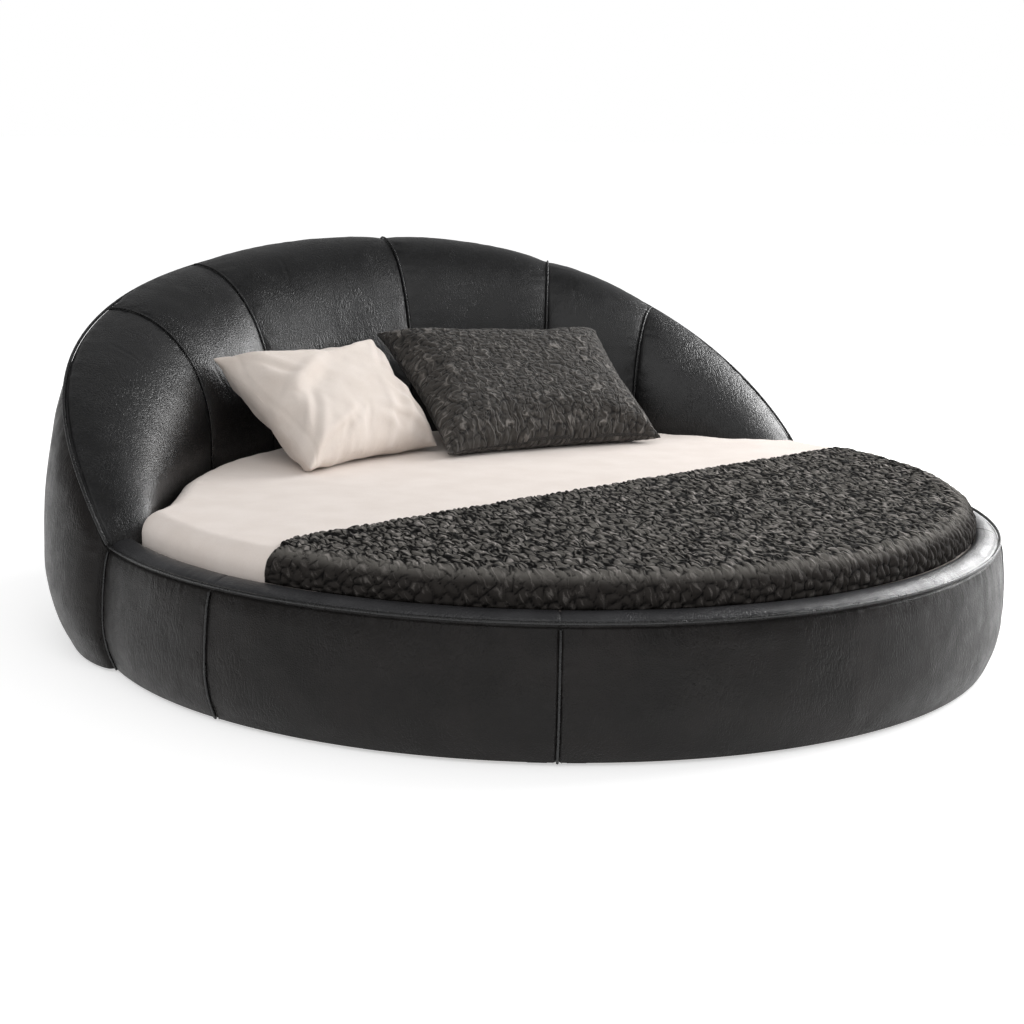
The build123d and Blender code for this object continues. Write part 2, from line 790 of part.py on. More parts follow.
# Felt glides under the rails and the ribs, all in one group
rail_middle_radius = (rail_inner_radius + rail_outer_radius) / 2
glide_half_turn = math.degrees(glide_length / 2 / rail_middle_radius)
glide_count = 3
with BuildPart() as felt_glides:
    for number in range(1, len(panel_bearings)):
        first = panel_bearings[number - 1] + 2 * glide_half_turn
        last = panel_bearings[number] - 2 * glide_half_turn
        for bearing in even(first, last, glide_count):
            ring_arc(
                bearing - glide_half_turn,
                bearing + glide_half_turn,
                rail_middle_radius - glide_width / 2,
                rail_middle_radius + glide_width / 2,
                0,
                glide_height,
            )
    for bearing in rib_bearings:
        outer = foot_point(bearing)[0] - cover_foot_thickness - glide_length
        for radius in (head_rail_radius + glide_length, outer):
            floor_plane = Plane(origin=(*plan(bearing, radius), 0), x_dir=(*plan(bearing, 1), 0), z_dir=(0, 0, 1))
            with BuildSketch(floor_plane):
                Rectangle(glide_length, glide_width)
            extrude(amount=glide_height)
save(felt_glides.part, "felt_glides")


# Mattress, fitted sheet and throw share one outline: a circle trimmed along the headboard
def head_reach(bearing):
    """Where the mattress ends at the headboard, clear of the channels' crowns."""
    gap = head_gap + sheet_thickness + cloth_clearance
    return face_radius(bearing) - channel_crown * swell(bearing, crest_swell_power) - gap


head_point_count = 6
left_heads = towards_end(0, left_end_bearing, head_point_count)
right_heads = towards_end(0, right_end_bearing, head_point_count)
head_bearings = right_heads[:0:-1] + left_heads


def bedding_block(grow, bottom, top, both_edges):
    """A block over the mattress outline, grown outwards, with rounded edges."""
    with BuildPart() as block:
        with BuildSketch(Plane.XY.offset(bottom)):
            with BuildLine():
                Spline(*[plan(bearing, head_reach(bearing) + grow) for bearing in head_bearings])
                ThreePointArc(
                    plan(left_end_bearing, head_reach(left_end_bearing) + grow),
                    plan((left_end_bearing + 360 + right_end_bearing) / 2, mattress_radius + grow),
                    plan(right_end_bearing, head_reach(right_end_bearing) + grow),
                )
            make_face()
        extrude(amount=top - bottom)
        fillet(block.edges().filter_by(Axis.Z), mattress_corner_radius + grow)
        rounded = block.faces().sort_by(Axis.Z)[-1].edges()
        if both_edges:
            rounded = rounded + block.faces().sort_by(Axis.Z)[0].edges()
        fillet(rounded, mattress_shoulder + grow)
    return block.part


save(bedding_block(0, platform_height, mattress_top, True), "mattress_core")

sheet_inside = cloth_clearance
sheet_outside = sheet_inside + sheet_thickness
skirt_bottom = platform_height + mattress_shoulder + sheet_skirt_lift
with BuildPart() as fitted_sheet:
    add(bedding_block(sheet_outside, skirt_bottom, mattress_top + sheet_outside, False))
    add(bedding_block(sheet_inside, platform_height, mattress_top + sheet_inside, False), mode=Mode.SUBTRACT)
save(fitted_sheet.part, "fitted_sheet")

throw_inside = sheet_outside + cloth_clearance
throw_outside = throw_inside + throw_thickness
throw_hem = rim_inner_height + throw_hem_clearance
edge_angle = math.radians(throw_edge_turn)
across_edge = (math.cos(edge_angle), math.sin(edge_angle), 0)
with BuildPart() as throw:
    add(bedding_block(throw_outside, throw_hem, mattress_top + throw_outside, False))
    add(bedding_block(throw_inside, platform_height, mattress_top + throw_inside, False), mode=Mode.SUBTRACT)
    split(
        bisect_by=Plane(
            origin=(0, throw_edge_offset, 0),
            x_dir=across_edge,
            z_dir=(-across_edge[1], across_edge[0], 0),
        ),
        keep=Keep.BOTTOM,
    )
save(throw.part, "throw")


def front_at(bearing, height):
    """Radius of the face of the channels at a height, ahead of the crown."""
    crest_radius, crest_height = crest_point(bearing)
    bend = rim_seam_height + bend_share * (crest_height - rim_seam_height)
    share = max(height - bend, 0) / (crest_height - bend)
    front = crest_radius - (crest_radius - face_radius(bearing)) * math.sqrt(1 - share ** 2)
    return front - channel_crown - pillow_back_gap


def direction(turn):
    return Vector(math.cos(math.radians(turn)), math.sin(math.radians(turn)), 0)


def upper_edge_middle(bearing, height, along, length):
    """Middle of a pillow's upper edge, placed so that neither end runs into the channels."""
    middle = Vector(*plan(bearing, front_at(bearing, height)), 0)
    forwards = Vector(along.Y, -along.X, 0)
    excess = 0
    for share in pillow_section_shares:
        place = middle + along * ((share - 0.5) * length)
        place_bearing = math.degrees(math.atan2(-place.X, place.Y))
        excess = max(excess, place.length - front_at(place_bearing, height))
    return middle + forwards * excess + Vector(0, 0, height)


def pillow(bearing, upper_turn, lower_turn, length, height, thickness, skew, bottom_share):
    """A pillow that stands on its lower edge and leans back towards the channels."""
    lean = math.radians(pillow_lean)
    upper_along = direction(upper_turn)
    lower_along = direction(lower_turn)
    top_middle = upper_edge_middle(bearing, sheet_top + height * math.cos(lean), upper_along, length)
    middle_along = direction((upper_turn + lower_turn) / 2)
    forwards = Vector(middle_along.Y, -middle_along.X, 0)
    bottom_middle = top_middle + forwards * (height * math.sin(lean)) + middle_along * skew
    bottom_middle = Vector(bottom_middle.X, bottom_middle.Y, sheet_top)
    with BuildPart() as cushion:
        for share in pillow_section_shares:
            top = top_middle + upper_along * ((share - 0.5) * length)
            bottom = bottom_middle + lower_along * ((share - 0.5) * length * bottom_share)
            up = (top - bottom).normalized()
            face = middle_along.cross(up).normalized()
            tall = (top - bottom).length
            fullness = math.sin(math.pi * share)
            drawn = pillow_draw_in_share * tall * fullness
            half = (pillow_edge_thickness + (thickness - pillow_edge_thickness) * math.sqrt(fullness)) / 2
            with BuildSketch(Plane(origin=bottom, x_dir=up, z_dir=up.cross(face))):
                with BuildLine():
                    ThreePointArc((drawn, 0), (tall / 2, half), (tall - drawn, 0))
                    ThreePointArc((tall - drawn, 0), (tall / 2, -half), (drawn, 0))
                make_face()
        loft()
    lowest = cushion.part.bounding_box().min.Z
    return Pos(0, 0, sheet_top + cloth_clearance - lowest) * cushion.part


light_pillow = pillow(
    light_pillow_bearing,
    light_pillow_upper_turn,
    light_pillow_lower_turn,
    light_pillow_length,
    light_pillow_height,
    light_pillow_thickness,
    light_pillow_skew,
    light_pillow_bottom_share,
)
save(light_pillow, "light_pillow")
dark_pillow = pillow(
    dark_pillow_bearing,
    dark_pillow_upper_turn,
    dark_pillow_lower_turn,
    dark_pillow_length,
    dark_pillow_height,
    dark_pillow_thickness,
    dark_pillow_skew,
    dark_pillow_bottom_share,
)
save(dark_pillow, "dark_pillow")
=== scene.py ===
import math

import bpy
import numpy as np
from mathutils import Matrix, Vector


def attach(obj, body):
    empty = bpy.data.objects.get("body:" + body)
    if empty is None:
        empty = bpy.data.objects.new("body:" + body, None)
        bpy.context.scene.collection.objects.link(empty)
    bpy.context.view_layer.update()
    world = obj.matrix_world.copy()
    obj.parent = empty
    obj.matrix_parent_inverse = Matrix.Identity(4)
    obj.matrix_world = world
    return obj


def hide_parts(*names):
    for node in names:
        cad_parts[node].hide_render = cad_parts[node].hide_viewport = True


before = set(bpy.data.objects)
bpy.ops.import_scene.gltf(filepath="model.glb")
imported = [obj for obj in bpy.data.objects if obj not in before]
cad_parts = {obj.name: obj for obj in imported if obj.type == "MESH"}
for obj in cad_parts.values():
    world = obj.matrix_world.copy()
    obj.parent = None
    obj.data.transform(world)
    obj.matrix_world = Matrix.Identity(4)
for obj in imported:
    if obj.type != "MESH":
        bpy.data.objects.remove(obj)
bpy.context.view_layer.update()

bl_info = {
    "name": "Round Bed Dressing",
    "version": (1, 0, 0),
    "blender": (4, 5, 0),
    "location": "3D View > Sidebar > Round Bed",
    "description": "Upholstery, bedding, finishes of the frame and studio for a round leather bed",
    "category": "Object",
}

MM = 0.001

# Form of the bed in millimetres and degrees, the same values as the solids have
LEFT_END = 89.3
RIGHT_END = -69.7
SEAMS = (48.0, 29.1, -2.0, -27.5, -44.0)
BACK_SEAMS = (29.1, -27.5)
BASE_SEAMS = (113.2, 153.9, 233.2)
PANEL_BEARINGS = (LEFT_END,) + BASE_SEAMS + (360.0 + RIGHT_END,)
RIM_INNER = 1058.3
RIM_SEAM = 1115.3
RIM_SEAM_HEIGHT = 299.0
RIM_CREST = (1070.3, 316.0)
RIM_FLAP = 220.0
BULGE_RADIUS = 1135.3
BASE_BULGE = 128.57
SHELL_BULGE = 233.0
FLOOR_RADIUS = 1105.3
PLATFORM = 175.0
MATTRESS_TOP = 375.0
SHEET_TOP = 378.3
SHOULDER = 45.0
SHEET_HEM = 245.0
THROW_HEM = 311.0
THROW_OFFSET = -153.0
THROW_TURN = 16.8
CROWN = 26.0
WELT_STAND = 3.8
PIPING_STAND = 4.8
FACE_SWELL = 162.0
EDGE_RISE = 602.0
EDGE_LEAN_RIGHT = -3.0
EDGE_LEAN_LEFT = 74.0
EDGE_ROLL = 18.0
EDGE_DROP = 6.0
SHELL_REACH_RIGHT = 76.0
SHELL_REACH_LEFT = 120.0
FOOT_SHARE = 0.72
FLOOR_GAP = 8.0
PAD_DEPTH_AT_END = 22.0
PAD_DEPTH_GROWTH = 48.0
INNER_EDGE = (13.2, 17.6)
BEND_SHARE = 0.27
CHANNEL_RADIUS = 930.0
VALLEY_HALF = 3.3
BACK_GAP = (0.65, -0.65)
BACK_THICKNESS = 18.0
PANEL_BACK = 1085.1
PANEL_BACK_HEIGHTS = (282.0, 180.0, 100.0, FLOOR_GAP)
RIM_BACK = ((1084.7, 282.4), (1066.3, 282.4), (1066.3, RIM_FLAP))
STITCH_BESIDE = 9.0
SHEET_CLOTH = 3.3
BEDDING_GAP = 0.3
THROW_RIDGE = (19.0, 62.0)
THROW_PEBBLE = 26.0
PILLOW_RIDGE = (26.0, 15.0)
PILLOW_STEP = 9.0
PILLOW_SWELL = 16.0
PILLOW_SINK = 9.0
PILLOW_ROLL = 6.0
DIAGONAL = math.sqrt(0.5)

# The photograph's view, in metres, and the floor under the bed
LENS = 70.5
CAMERA_PLACE = (-2.3283, -4.3854, 1.3058)
CAMERA_RIGHT = (0.891, -0.454, 0)
CAMERA_BACK = (-0.445, -0.873, 0.199)
CAMERA_ROLL = 0.019
FLOOR_HALF = 60


def linear(code):
    """An sRGB hex colour as the linear colour that Blender wants."""
    parts = [int(code[place:place + 2], 16) / 255 for place in (1, 3, 5)]
    return [part / 12.92 if part <= 0.04045 else ((part + 0.055) / 1.055) ** 2.4 for part in parts] + [1.0]


# The form of the headboard, for many bearings at once

def end_share(bearing):
    return np.clip(np.where(bearing >= 0, bearing / LEFT_END, bearing / RIGHT_END), 0, 1)


def swell(bearing, power):
    return np.sqrt(1 - end_share(bearing) ** power)


def rise(bearing):
    share = end_share(bearing)
    left = (1 - share ** 1.75) ** (1 / 1.46)
    return np.where(bearing >= 0, left, (1 - share ** 2.2) ** (1 / 1.17))


def from_right_to_left(bearing, right, left):
    share = np.clip((bearing + 45) / 90, 0, 1)
    return right + (left - right) * share ** 2 * (3 - 2 * share)


def pair(radius, height):
    """Radius and height side by side, one pair for each bearing."""
    return np.stack(np.broadcast_arrays(radius, height), axis=-1).astype(float)


def face_radius(bearing):
    return RIM_INNER - FACE_SWELL * swell(bearing, 3.05)


def edge_point(bearing):
    lean = from_right_to_left(bearing, EDGE_LEAN_RIGHT, EDGE_LEAN_LEFT) + EDGE_ROLL
    return pair(RIM_SEAM + lean * swell(bearing, 2.9), RIM_SEAM_HEIGHT + EDGE_RISE * rise(bearing))


def crest_point(bearing):
    roll = 6 + EDGE_ROLL * swell(bearing, 2.9)
    edge = edge_point(bearing)
    return pair(edge[..., 0] - roll, edge[..., 1] + 2 + EDGE_DROP * rise(bearing))


def bulge_point(bearing):
    share = swell(bearing, 6)
    reach = from_right_to_left(bearing, SHELL_REACH_RIGHT, SHELL_REACH_LEFT)
    return pair(BULGE_RADIUS + reach * share, BASE_BULGE + (SHELL_BULGE - BASE_BULGE) * share)


def foot_point(bearing):
    return pair(FLOOR_RADIUS + FOOT_SHARE * (bulge_point(bearing)[..., 0] - BULGE_RADIUS), FLOOR_GAP)


def upper_middle(bearing):
    crest = crest_point(bearing)
    bulge = bulge_point(bearing)
    across = crest[..., 0] + DIAGONAL * (bulge[..., 0] - crest[..., 0])
    return pair(across, bulge[..., 1] + DIAGONAL * (crest[..., 1] - bulge[..., 1]))


def pad_depth(bearing):
    return PAD_DEPTH_AT_END + PAD_DEPTH_GROWTH * rise(bearing)


def inner_edge_point(bearing):
    edge = edge_point(bearing)
    return pair(edge[..., 0] - INNER_EDGE[0], edge[..., 1] - INNER_EDGE[1])


def bend_height(crest):
    """Height at which the face of a channel starts to lean back to its crest."""
    return RIM_SEAM_HEIGHT + BEND_SHARE * (crest[..., 1] - RIM_SEAM_HEIGHT)


def arc(start, tangent, end, count):
    """Points on the arc that leaves start along tangent and reaches end."""
    tangent = np.broadcast_to(tangent, start.shape)
    square = np.stack([-tangent[..., 1], tangent[..., 0]], axis=-1)
    chord = end - start
    turn = 2 * np.arctan2(np.sum(chord * square, -1), np.sum(chord * tangent, -1))
    turn = np.where(np.abs(turn) < 1e-6, 1e-6, turn)
    radius = np.linalg.norm(chord, axis=-1) / (2 * np.sin(turn / 2))
    angle = turn[..., None] * np.linspace(0, 1, count)
    forwards = (radius[..., None] * np.sin(angle))[..., None] * tangent[..., None, :]
    sideways = (radius[..., None] * (1 - np.cos(angle)))[..., None] * square[..., None, :]
    return start[..., None, :] + forwards + sideways


def arriving(start, tangent, end):
    """The direction in which that arc reaches its end."""
    chord = end - start
    along = 2 * np.sum(chord * tangent, -1) / np.sum(chord * chord, -1)
    return along[..., None] * chord - tangent


def straight(start, end, count):
    share = np.linspace(0, 1, count)[:, None]
    return start[..., None, :] * (1 - share) + end[..., None, :] * share


def quarter(centre_radius, centre_height, across, up, count):
    """A quarter of an ellipse from its inner side to its top."""
    turn = np.linspace(0, math.pi / 2, count)
    radius = centre_radius[..., None] - across[..., None] * np.cos(turn)
    return np.stack([radius, centre_height[..., None] + up[..., None] * np.sin(turn)], axis=-1)


def pad_front(bearing, crown):
    """The front of a channel from the slats over its crest to the edge seam."""
    face = face_radius(bearing) - crown
    crest = crest_point(bearing)
    bend = bend_height(crest)
    top = crest[..., 1] + 0.35 * crown
    return np.concatenate([
        straight(pair(face, PLATFORM), pair(face, bend), 30)[:, :-1],
        quarter(crest[..., 0], bend, crest[..., 0] - face, top - bend, 120)[:, :-1],
        arc(pair(crest[..., 0], top), (1, 0), edge_point(bearing), 30),
    ], axis=1)


def pad_back(bearing):
    """The hollow back of a channel, from the edge seam down."""
    crest = crest_point(bearing)
    depth = pad_depth(bearing)
    back = face_radius(bearing) + depth
    under = crest[..., 1] - depth
    centre = np.minimum(crest[..., 0], inner_edge_point(bearing)[..., 0] - 0.4)
    bend = PLATFORM + BEND_SHARE * (under - PLATFORM)
    hollow = quarter(centre, bend, centre - back, under - bend, 10)[:, ::-1]
    return np.concatenate([
        inner_edge_point(bearing)[:, None],
        hollow,
        pair(back, PLATFORM)[:, None],
    ], axis=1)


def outer_front(bearing, across, edge):
    """The outside of the back or the base from the foot over the bulge to the edge seam."""
    bulge = bulge_point(bearing) + (across, 0)
    middle = upper_middle(bearing) + (across, 0)
    foot = foot_point(bearing) + (across if across > -BACK_THICKNESS else -12, 0)
    lower = arc(bulge, (0.0, -1.0), foot, 40)[..., ::-1, :]
    upper = arc(bulge, (0.0, 1.0), middle, 60)
    last = arc(middle, arriving(bulge, np.array((0.0, 1.0)), middle), edge, 60)
    return np.concatenate([lower[..., :-1, :], upper[..., :-1, :], last], axis=-2)


def placed(bearing, profile):
    """Profiles of radius and height, each set up at its bearing, in metres."""
    angle = np.radians(90 + bearing)[:, None]
    radius, height = profile[..., 0] * MM, profile[..., 1] * MM
    return np.stack([radius * np.cos(angle), radius * np.sin(angle), height], axis=-1)


def even_steps(lines, count, crowding=1.0):
    """Each line with its points spread evenly, or crowded towards its end, and each point's way along it."""
    result = np.empty((len(lines), count, lines.shape[2]))
    along = np.empty((len(lines), count))
    spread = 1 - (1 - np.linspace(0, 1, count)) ** crowding
    for number, line in enumerate(lines):
        distance = np.concatenate([[0], np.cumsum(np.linalg.norm(np.diff(line, axis=0), axis=1))])
        along[number] = distance[-1] * spread
        for axis in range(lines.shape[2]):
            result[number, :, axis] = np.interp(along[number], distance, line[:, axis])
    return result, along


# Small relief: soft lumps, puckers, creases and cells

def lumps(across, along, seed):
    """Smooth noise from -1 to 1 that changes over about one unit."""
    table = np.random.default_rng(seed).uniform(-1, 1, (128, 128))
    left, low = np.floor(across).astype(int), np.floor(along).astype(int)
    part_x, part_y = across - left, along - low
    part_x, part_y = part_x ** 2 * (3 - 2 * part_x), part_y ** 2 * (3 - 2 * part_y)
    row, next_row, column, next_column = left % 128, (left + 1) % 128, low % 128, (low + 1) % 128
    lower = table[row, column] * (1 - part_x) + table[next_row, column] * part_x
    upper = table[row, next_column] * (1 - part_x) + table[next_row, next_column] * part_x
    return lower * (1 - part_y) + upper * part_y


def rough_lumps(across, along, seed):
    return (lumps(across, along, seed) + 0.5 * lumps(2.1 * across, 2.1 * along, seed + 1)) / 1.5


def cells(across, along, seed):
    """Distance to the border between pebbles that are about one unit wide."""
    offsets = np.random.default_rng(seed).uniform(0.12, 0.88, (64, 64, 2))
    left, low = np.floor(across).astype(int), np.floor(along).astype(int)
    nearest = np.full(across.shape, 9.0)
    second = np.full(across.shape, 9.0)
    for column in (-1, 0, 1):
        for row in (-1, 0, 1):
            offset = offsets[(left + column) % 64, (low + row) % 64]
            distance = np.hypot(left + column + offset[..., 0] - across, low + row + offset[..., 1] - along)
            second = np.minimum(second, np.maximum(nearest, distance))
            nearest = np.minimum(nearest, distance)
    return second - nearest


def crease(across, along, start, end, depth, width, seed):
    """A wavy fold line with a raised lip on each side, in the units of the surface."""
    across = across + 0.9 * width * lumps(across / (9 * width), along / (9 * width), seed)
    along = along + 0.9 * width * lumps(across / (9 * width) + 31, along / (9 * width), seed)
    run = (end[0] - start[0], end[1] - start[1])
    share = ((across - start[0]) * run[0] + (along - start[1]) * run[1]) / (run[0] ** 2 + run[1] ** 2)
    inside = np.clip(share, 0, 1)
    distance = np.hypot(across - start[0] - inside * run[0], along - start[1] - inside * run[1]) / width
    fade = np.sin(math.pi * np.clip(inside, 0.02, 0.98)) ** 0.6
    return fade * depth * (0.6 * np.exp(-(distance - 1.8) ** 2) - np.exp(-distance ** 2))


def fold(across, along, start, end, rise, width, hollow):
    """A soft ridge from start to end, with a broader hollow beside it."""
    run = (end[0] - start[0], end[1] - start[1])
    length = math.hypot(*run)
    share = ((across - start[0]) * run[0] + (along - start[1]) * run[1]) / length ** 2
    aside = ((along - start[1]) * run[0] - (across - start[0]) * run[1]) / length
    fade = np.clip(1.25 - 1.6 * np.abs(share - 0.45), 0, 1) ** 1.5
    ridge = np.exp(-(aside / width) ** 2)
    return rise * fade * (ridge - 0.75 * np.exp(-((aside - hollow) / (1.3 * width)) ** 2))


def lifted(points, height):
    """A grid of points moved out along its own normals by a height in metres."""
    normal = np.cross(np.gradient(points, axis=0), np.gradient(points, axis=1))
    normal = normal / (np.linalg.norm(normal, axis=-1, keepdims=True) + 1e-15)
    return points + normal * height[..., None]


# Meshes

def new_piece(name, points, faces, material, body, uv=None, values=None, sharp=40):
    mesh = bpy.data.meshes.new(name)
    mesh.from_pydata(np.reshape(points, (-1, 3)).tolist(), [], faces)
    if uv is not None:
        index = np.empty(len(mesh.loops), dtype=np.int32)
        mesh.loops.foreach_get("vertex_index", index)
        mesh.uv_layers.new(name="Cloth").data.foreach_set("uv", uv[index].astype(np.float32).ravel())
    for key, value in (values or {}).items():
        mesh.attributes.new(key, "FLOAT", "POINT").data.foreach_set("value", value.astype(np.float32))
    mesh.shade_smooth()
    mesh.set_sharp_from_angle(angle=math.radians(sharp))
    mesh.materials.append(material)
    piece = bpy.data.objects.new(name, mesh)
    bpy.context.scene.collection.objects.link(piece)
    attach(piece, body)
    return piece


def quads(columns, rows, first=0, wrap=False):
    """Faces of a grid whose points run row by row within each column."""
    column = np.arange(columns if wrap else columns - 1)[:, None]
    row = np.arange(rows - 1)[None, :]
    here = first + column * rows + row
    beside = first + ((column + 1) % columns) * rows + row
    return np.stack([here, beside, beside + 1, here + 1], axis=-1).reshape(-1, 4)


def closed_band(front, back):
    """Points and faces of a pad with a front and a back grid, closed at both ends."""
    rings = np.concatenate([front, back], axis=1)
    columns, rows = rings.shape[:2]
    faces = quads(columns, rows).tolist()
    for column in range(columns - 1):
        here, beside = column * rows, (column + 1) * rows
        faces.append([here + rows - 1, beside + rows - 1, beside, here])
    faces.append(list(range(rows)))
    faces.append(list(range(columns * rows - 1, (columns - 1) * rows - 1, -1)))
    return rings, faces


def cloth_layers(upper, lower, step, wrap):
    """Points and faces of a cloth whose under side has every step-th point of its upper side."""
    columns, rows = upper.shape[:2]
    low_columns, low_rows = lower.shape[:2]
    first = columns * rows
    faces = quads(columns, rows, wrap=wrap).tolist()
    faces += quads(low_columns, low_rows, first, wrap)[:, ::-1].tolist()

    def up(column, row):
        return (column % columns) * rows + row

    def low(column, row):
        return first + (column % low_columns) * low_rows + row

    segments = low_columns if wrap else low_columns - 1
    for part in range(segments):
        fine = [up(column, rows - 1) for column in range(part * step, part * step + step + 1)]
        faces.append(fine + [low(part + 1, low_rows - 1), low(part, low_rows - 1)])
    if wrap:
        faces.append([up(column, 0) for column in range(columns)][::-1])
        faces.append([low(column, 0) for column in range(low_columns)])
        return faces
    for part in range(segments):
        fine = [up(column, 0) for column in range(part * step + step, part * step - 1, -1)]
        faces.append(fine + [low(part, 0), low(part + 1, 0)])
    for part in range(low_rows - 1):
        fine = [up(columns - 1, row) for row in range(part * step + step, part * step - 1, -1)]
        faces.append(fine + [low(low_columns - 1, part), low(low_columns - 1, part + 1)])
        fine = [up(0, row) for row in range(part * step, part * step + step + 1)]
        faces.append(fine + [low(0, part + 1), low(0, part)])
    return faces


# Materials

def add(tree, kind, settings=None, links=None):
    """Adds a node; settings are its properties or socket values, links are what its sockets take."""
    node = tree.nodes.new(kind)
    for key, value in (settings or {}).items():
        if isinstance(key, int) or key in node.inputs:
            node.inputs[key].default_value = value
        else:
            setattr(node, key, value)
    for key, source in (links or {}).items():
        tree.links.new(source, node.inputs[key])
    return node


def new_material(name, settings):
    material = bpy.data.materials.new(name)
    material.use_nodes = True
    tree = material.node_tree
    tree.nodes.clear()
    surface = add(tree, "ShaderNodeBsdfPrincipled", settings)
    add(tree, "ShaderNodeOutputMaterial", links={"Surface": surface.outputs[0]})
    return material, tree, surface


def object_place(tree):
    return add(tree, "ShaderNodeTexCoord").outputs["Object"]


def cloth_place(tree):
    return add(tree, "ShaderNodeUVMap", {"uv_map": "Cloth"}).outputs[0]


def warped(tree, place, scale, amount):
    """A place moved about by noise, so that a pattern on it wanders."""
    noise = add(tree, "ShaderNodeTexNoise", {"Scale": scale, "Detail": 2}, {"Vector": place})
    centred = add(tree, "ShaderNodeVectorMath", {"operation": "SUBTRACT", 1: (0.5, 0.5, 0.5)},
                  {0: noise.outputs["Color"]})
    moved = add(tree, "ShaderNodeVectorMath", {"operation": "SCALE", "Scale": amount},
                {0: centred.outputs[0]})
    return add(tree, "ShaderNodeVectorMath", {"operation": "ADD"}, {0: place, 1: moved.outputs[0]}).outputs[0]


def ranged(tree, source, low, high, first=0.0, last=1.0):
    settings = {"From Min": low, "From Max": high, "To Min": first, "To Max": last,
                "interpolation_type": "SMOOTHSTEP"}
    return add(tree, "ShaderNodeMapRange", settings, {"Value": source}).outputs["Result"]


def weighed(tree, first, second, weight):
    """first plus weight times second."""
    return add(tree, "ShaderNodeMath", {"operation": "MULTIPLY_ADD", 1: weight},
               {0: second, 2: first}).outputs[0]


def colour_mix(tree, share, first, second):
    node = add(tree, "ShaderNodeMix", {"data_type": "RGBA", 6: first, 7: second}, {0: share})
    return node.outputs[2]


def leather(name, settings, pebble, stretch, shade_first, shade_second, rough_low, rough_high):
    """Chrome-tanned, embossed cow hide with a pigment finish: even colour, satin shine on a pebbled grain."""
    material, tree, surface = new_material(name, settings)
    place = object_place(tree)
    wander = warped(tree, place, 90, 0.005)
    # Real grain is 1 to 2 mm wide, which the picture can't show, so its pebbles are drawn coarser
    pebbles = add(tree, "ShaderNodeTexVoronoi", {"feature": "DISTANCE_TO_EDGE", "Scale": 1 / pebble},
                  {"Vector": wander})
    height = ranged(tree, pebbles.outputs["Distance"], 0.0, 0.42)
    fine = add(tree, "ShaderNodeTexNoise", {"Scale": 420, "Detail": 2}, {"Vector": place})
    height = weighed(tree, height, fine.outputs[0], 0.15)
    # Creases of a stretched hide run up and down, 8 to 15 mm apart, and come and go in patches
    for scale, amount, patch, depth in ((80, 0.028, 4, 1.3), (140, 0.012, 8, 0.8)):
        far_wander = warped(tree, place, scale * 0.3, amount)
        drawn = add(tree, "ShaderNodeMapping", {"Scale": stretch}, {"Vector": far_wander}).outputs[0]
        lines = add(tree, "ShaderNodeTexVoronoi", {"feature": "DISTANCE_TO_EDGE", "Scale": scale},
                    {"Vector": drawn})
        patches = add(tree, "ShaderNodeTexNoise", {"Scale": patch, "Detail": 3, "Roughness": 0.6},
                      {"Vector": place})
        line_depth = ranged(tree, lines.outputs["Distance"], 0.0, 0.16)
        part = ranged(tree, patches.outputs[0], 0.42, 0.6)
        crease_height = add(tree, "ShaderNodeMath", {"operation": "MULTIPLY"},
                            {0: line_depth, 1: part}).outputs[0]
        height = weighed(tree, height, crease_height, depth)
    bump = add(tree, "ShaderNodeBump", {"Strength": 1.0, "Distance": 0.00038}, {"Height": height})
    tree.links.new(bump.outputs[0], surface.inputs["Normal"])
    clouds = add(tree, "ShaderNodeTexNoise", {"Scale": 7, "Detail": 4, "Roughness": 0.6}, {"Vector": place})
    tone = colour_mix(tree, ranged(tree, clouds.outputs[0], 0.35, 0.7), shade_first, shade_second)
    tree.links.new(tone, surface.inputs["Base Color"])
    gloss = add(tree, "ShaderNodeTexNoise", {"Scale": 22, "Detail": 6, "Roughness": 0.7}, {"Vector": wander})
    tree.links.new(ranged(tree, gloss.outputs[0], 0.3, 0.7, rough_low, rough_high),
                   surface.inputs["Roughness"])
    return material


def woven(name, settings, thread, first, second, depth):
    """A plain weave: two sets of threads that pass over one another."""
    material, tree, surface = new_material(name, settings)
    place = cloth_place(tree)
    parts = add(tree, "ShaderNodeSeparateXYZ", links={0: place})
    waves = []
    for axis in (0, 1):
        phase = add(tree, "ShaderNodeMath", {"operation": "MULTIPLY", 1: 2 * math.pi / thread},
                    {0: parts.outputs[axis]})
        waves.append(add(tree, "ShaderNodeMath", {"operation": "SINE"}, {0: phase.outputs[0]}).outputs[0])
    crossing = add(tree, "ShaderNodeMath", {"operation": "MULTIPLY"}, {0: waves[0], 1: waves[1]}).outputs[0]
    slubs = add(tree, "ShaderNodeTexNoise", {"Scale": 220, "Detail": 3}, {"Vector": place})
    clouds = add(tree, "ShaderNodeTexNoise", {"Scale": 9, "Detail": 4}, {"Vector": place})
    height = weighed(tree, slubs.outputs[0], crossing, 0.6)
    bump = add(tree, "ShaderNodeBump", {"Strength": depth, "Distance": 0.0006}, {"Height": height})
    tree.links.new(bump.outputs[0], surface.inputs["Normal"])
    share = weighed(tree, clouds.outputs[0], slubs.outputs[0], 0.4)
    tree.links.new(colour_mix(tree, ranged(tree, share, 0.45, 0.95), first, second),
                   surface.inputs["Base Color"])
    return material


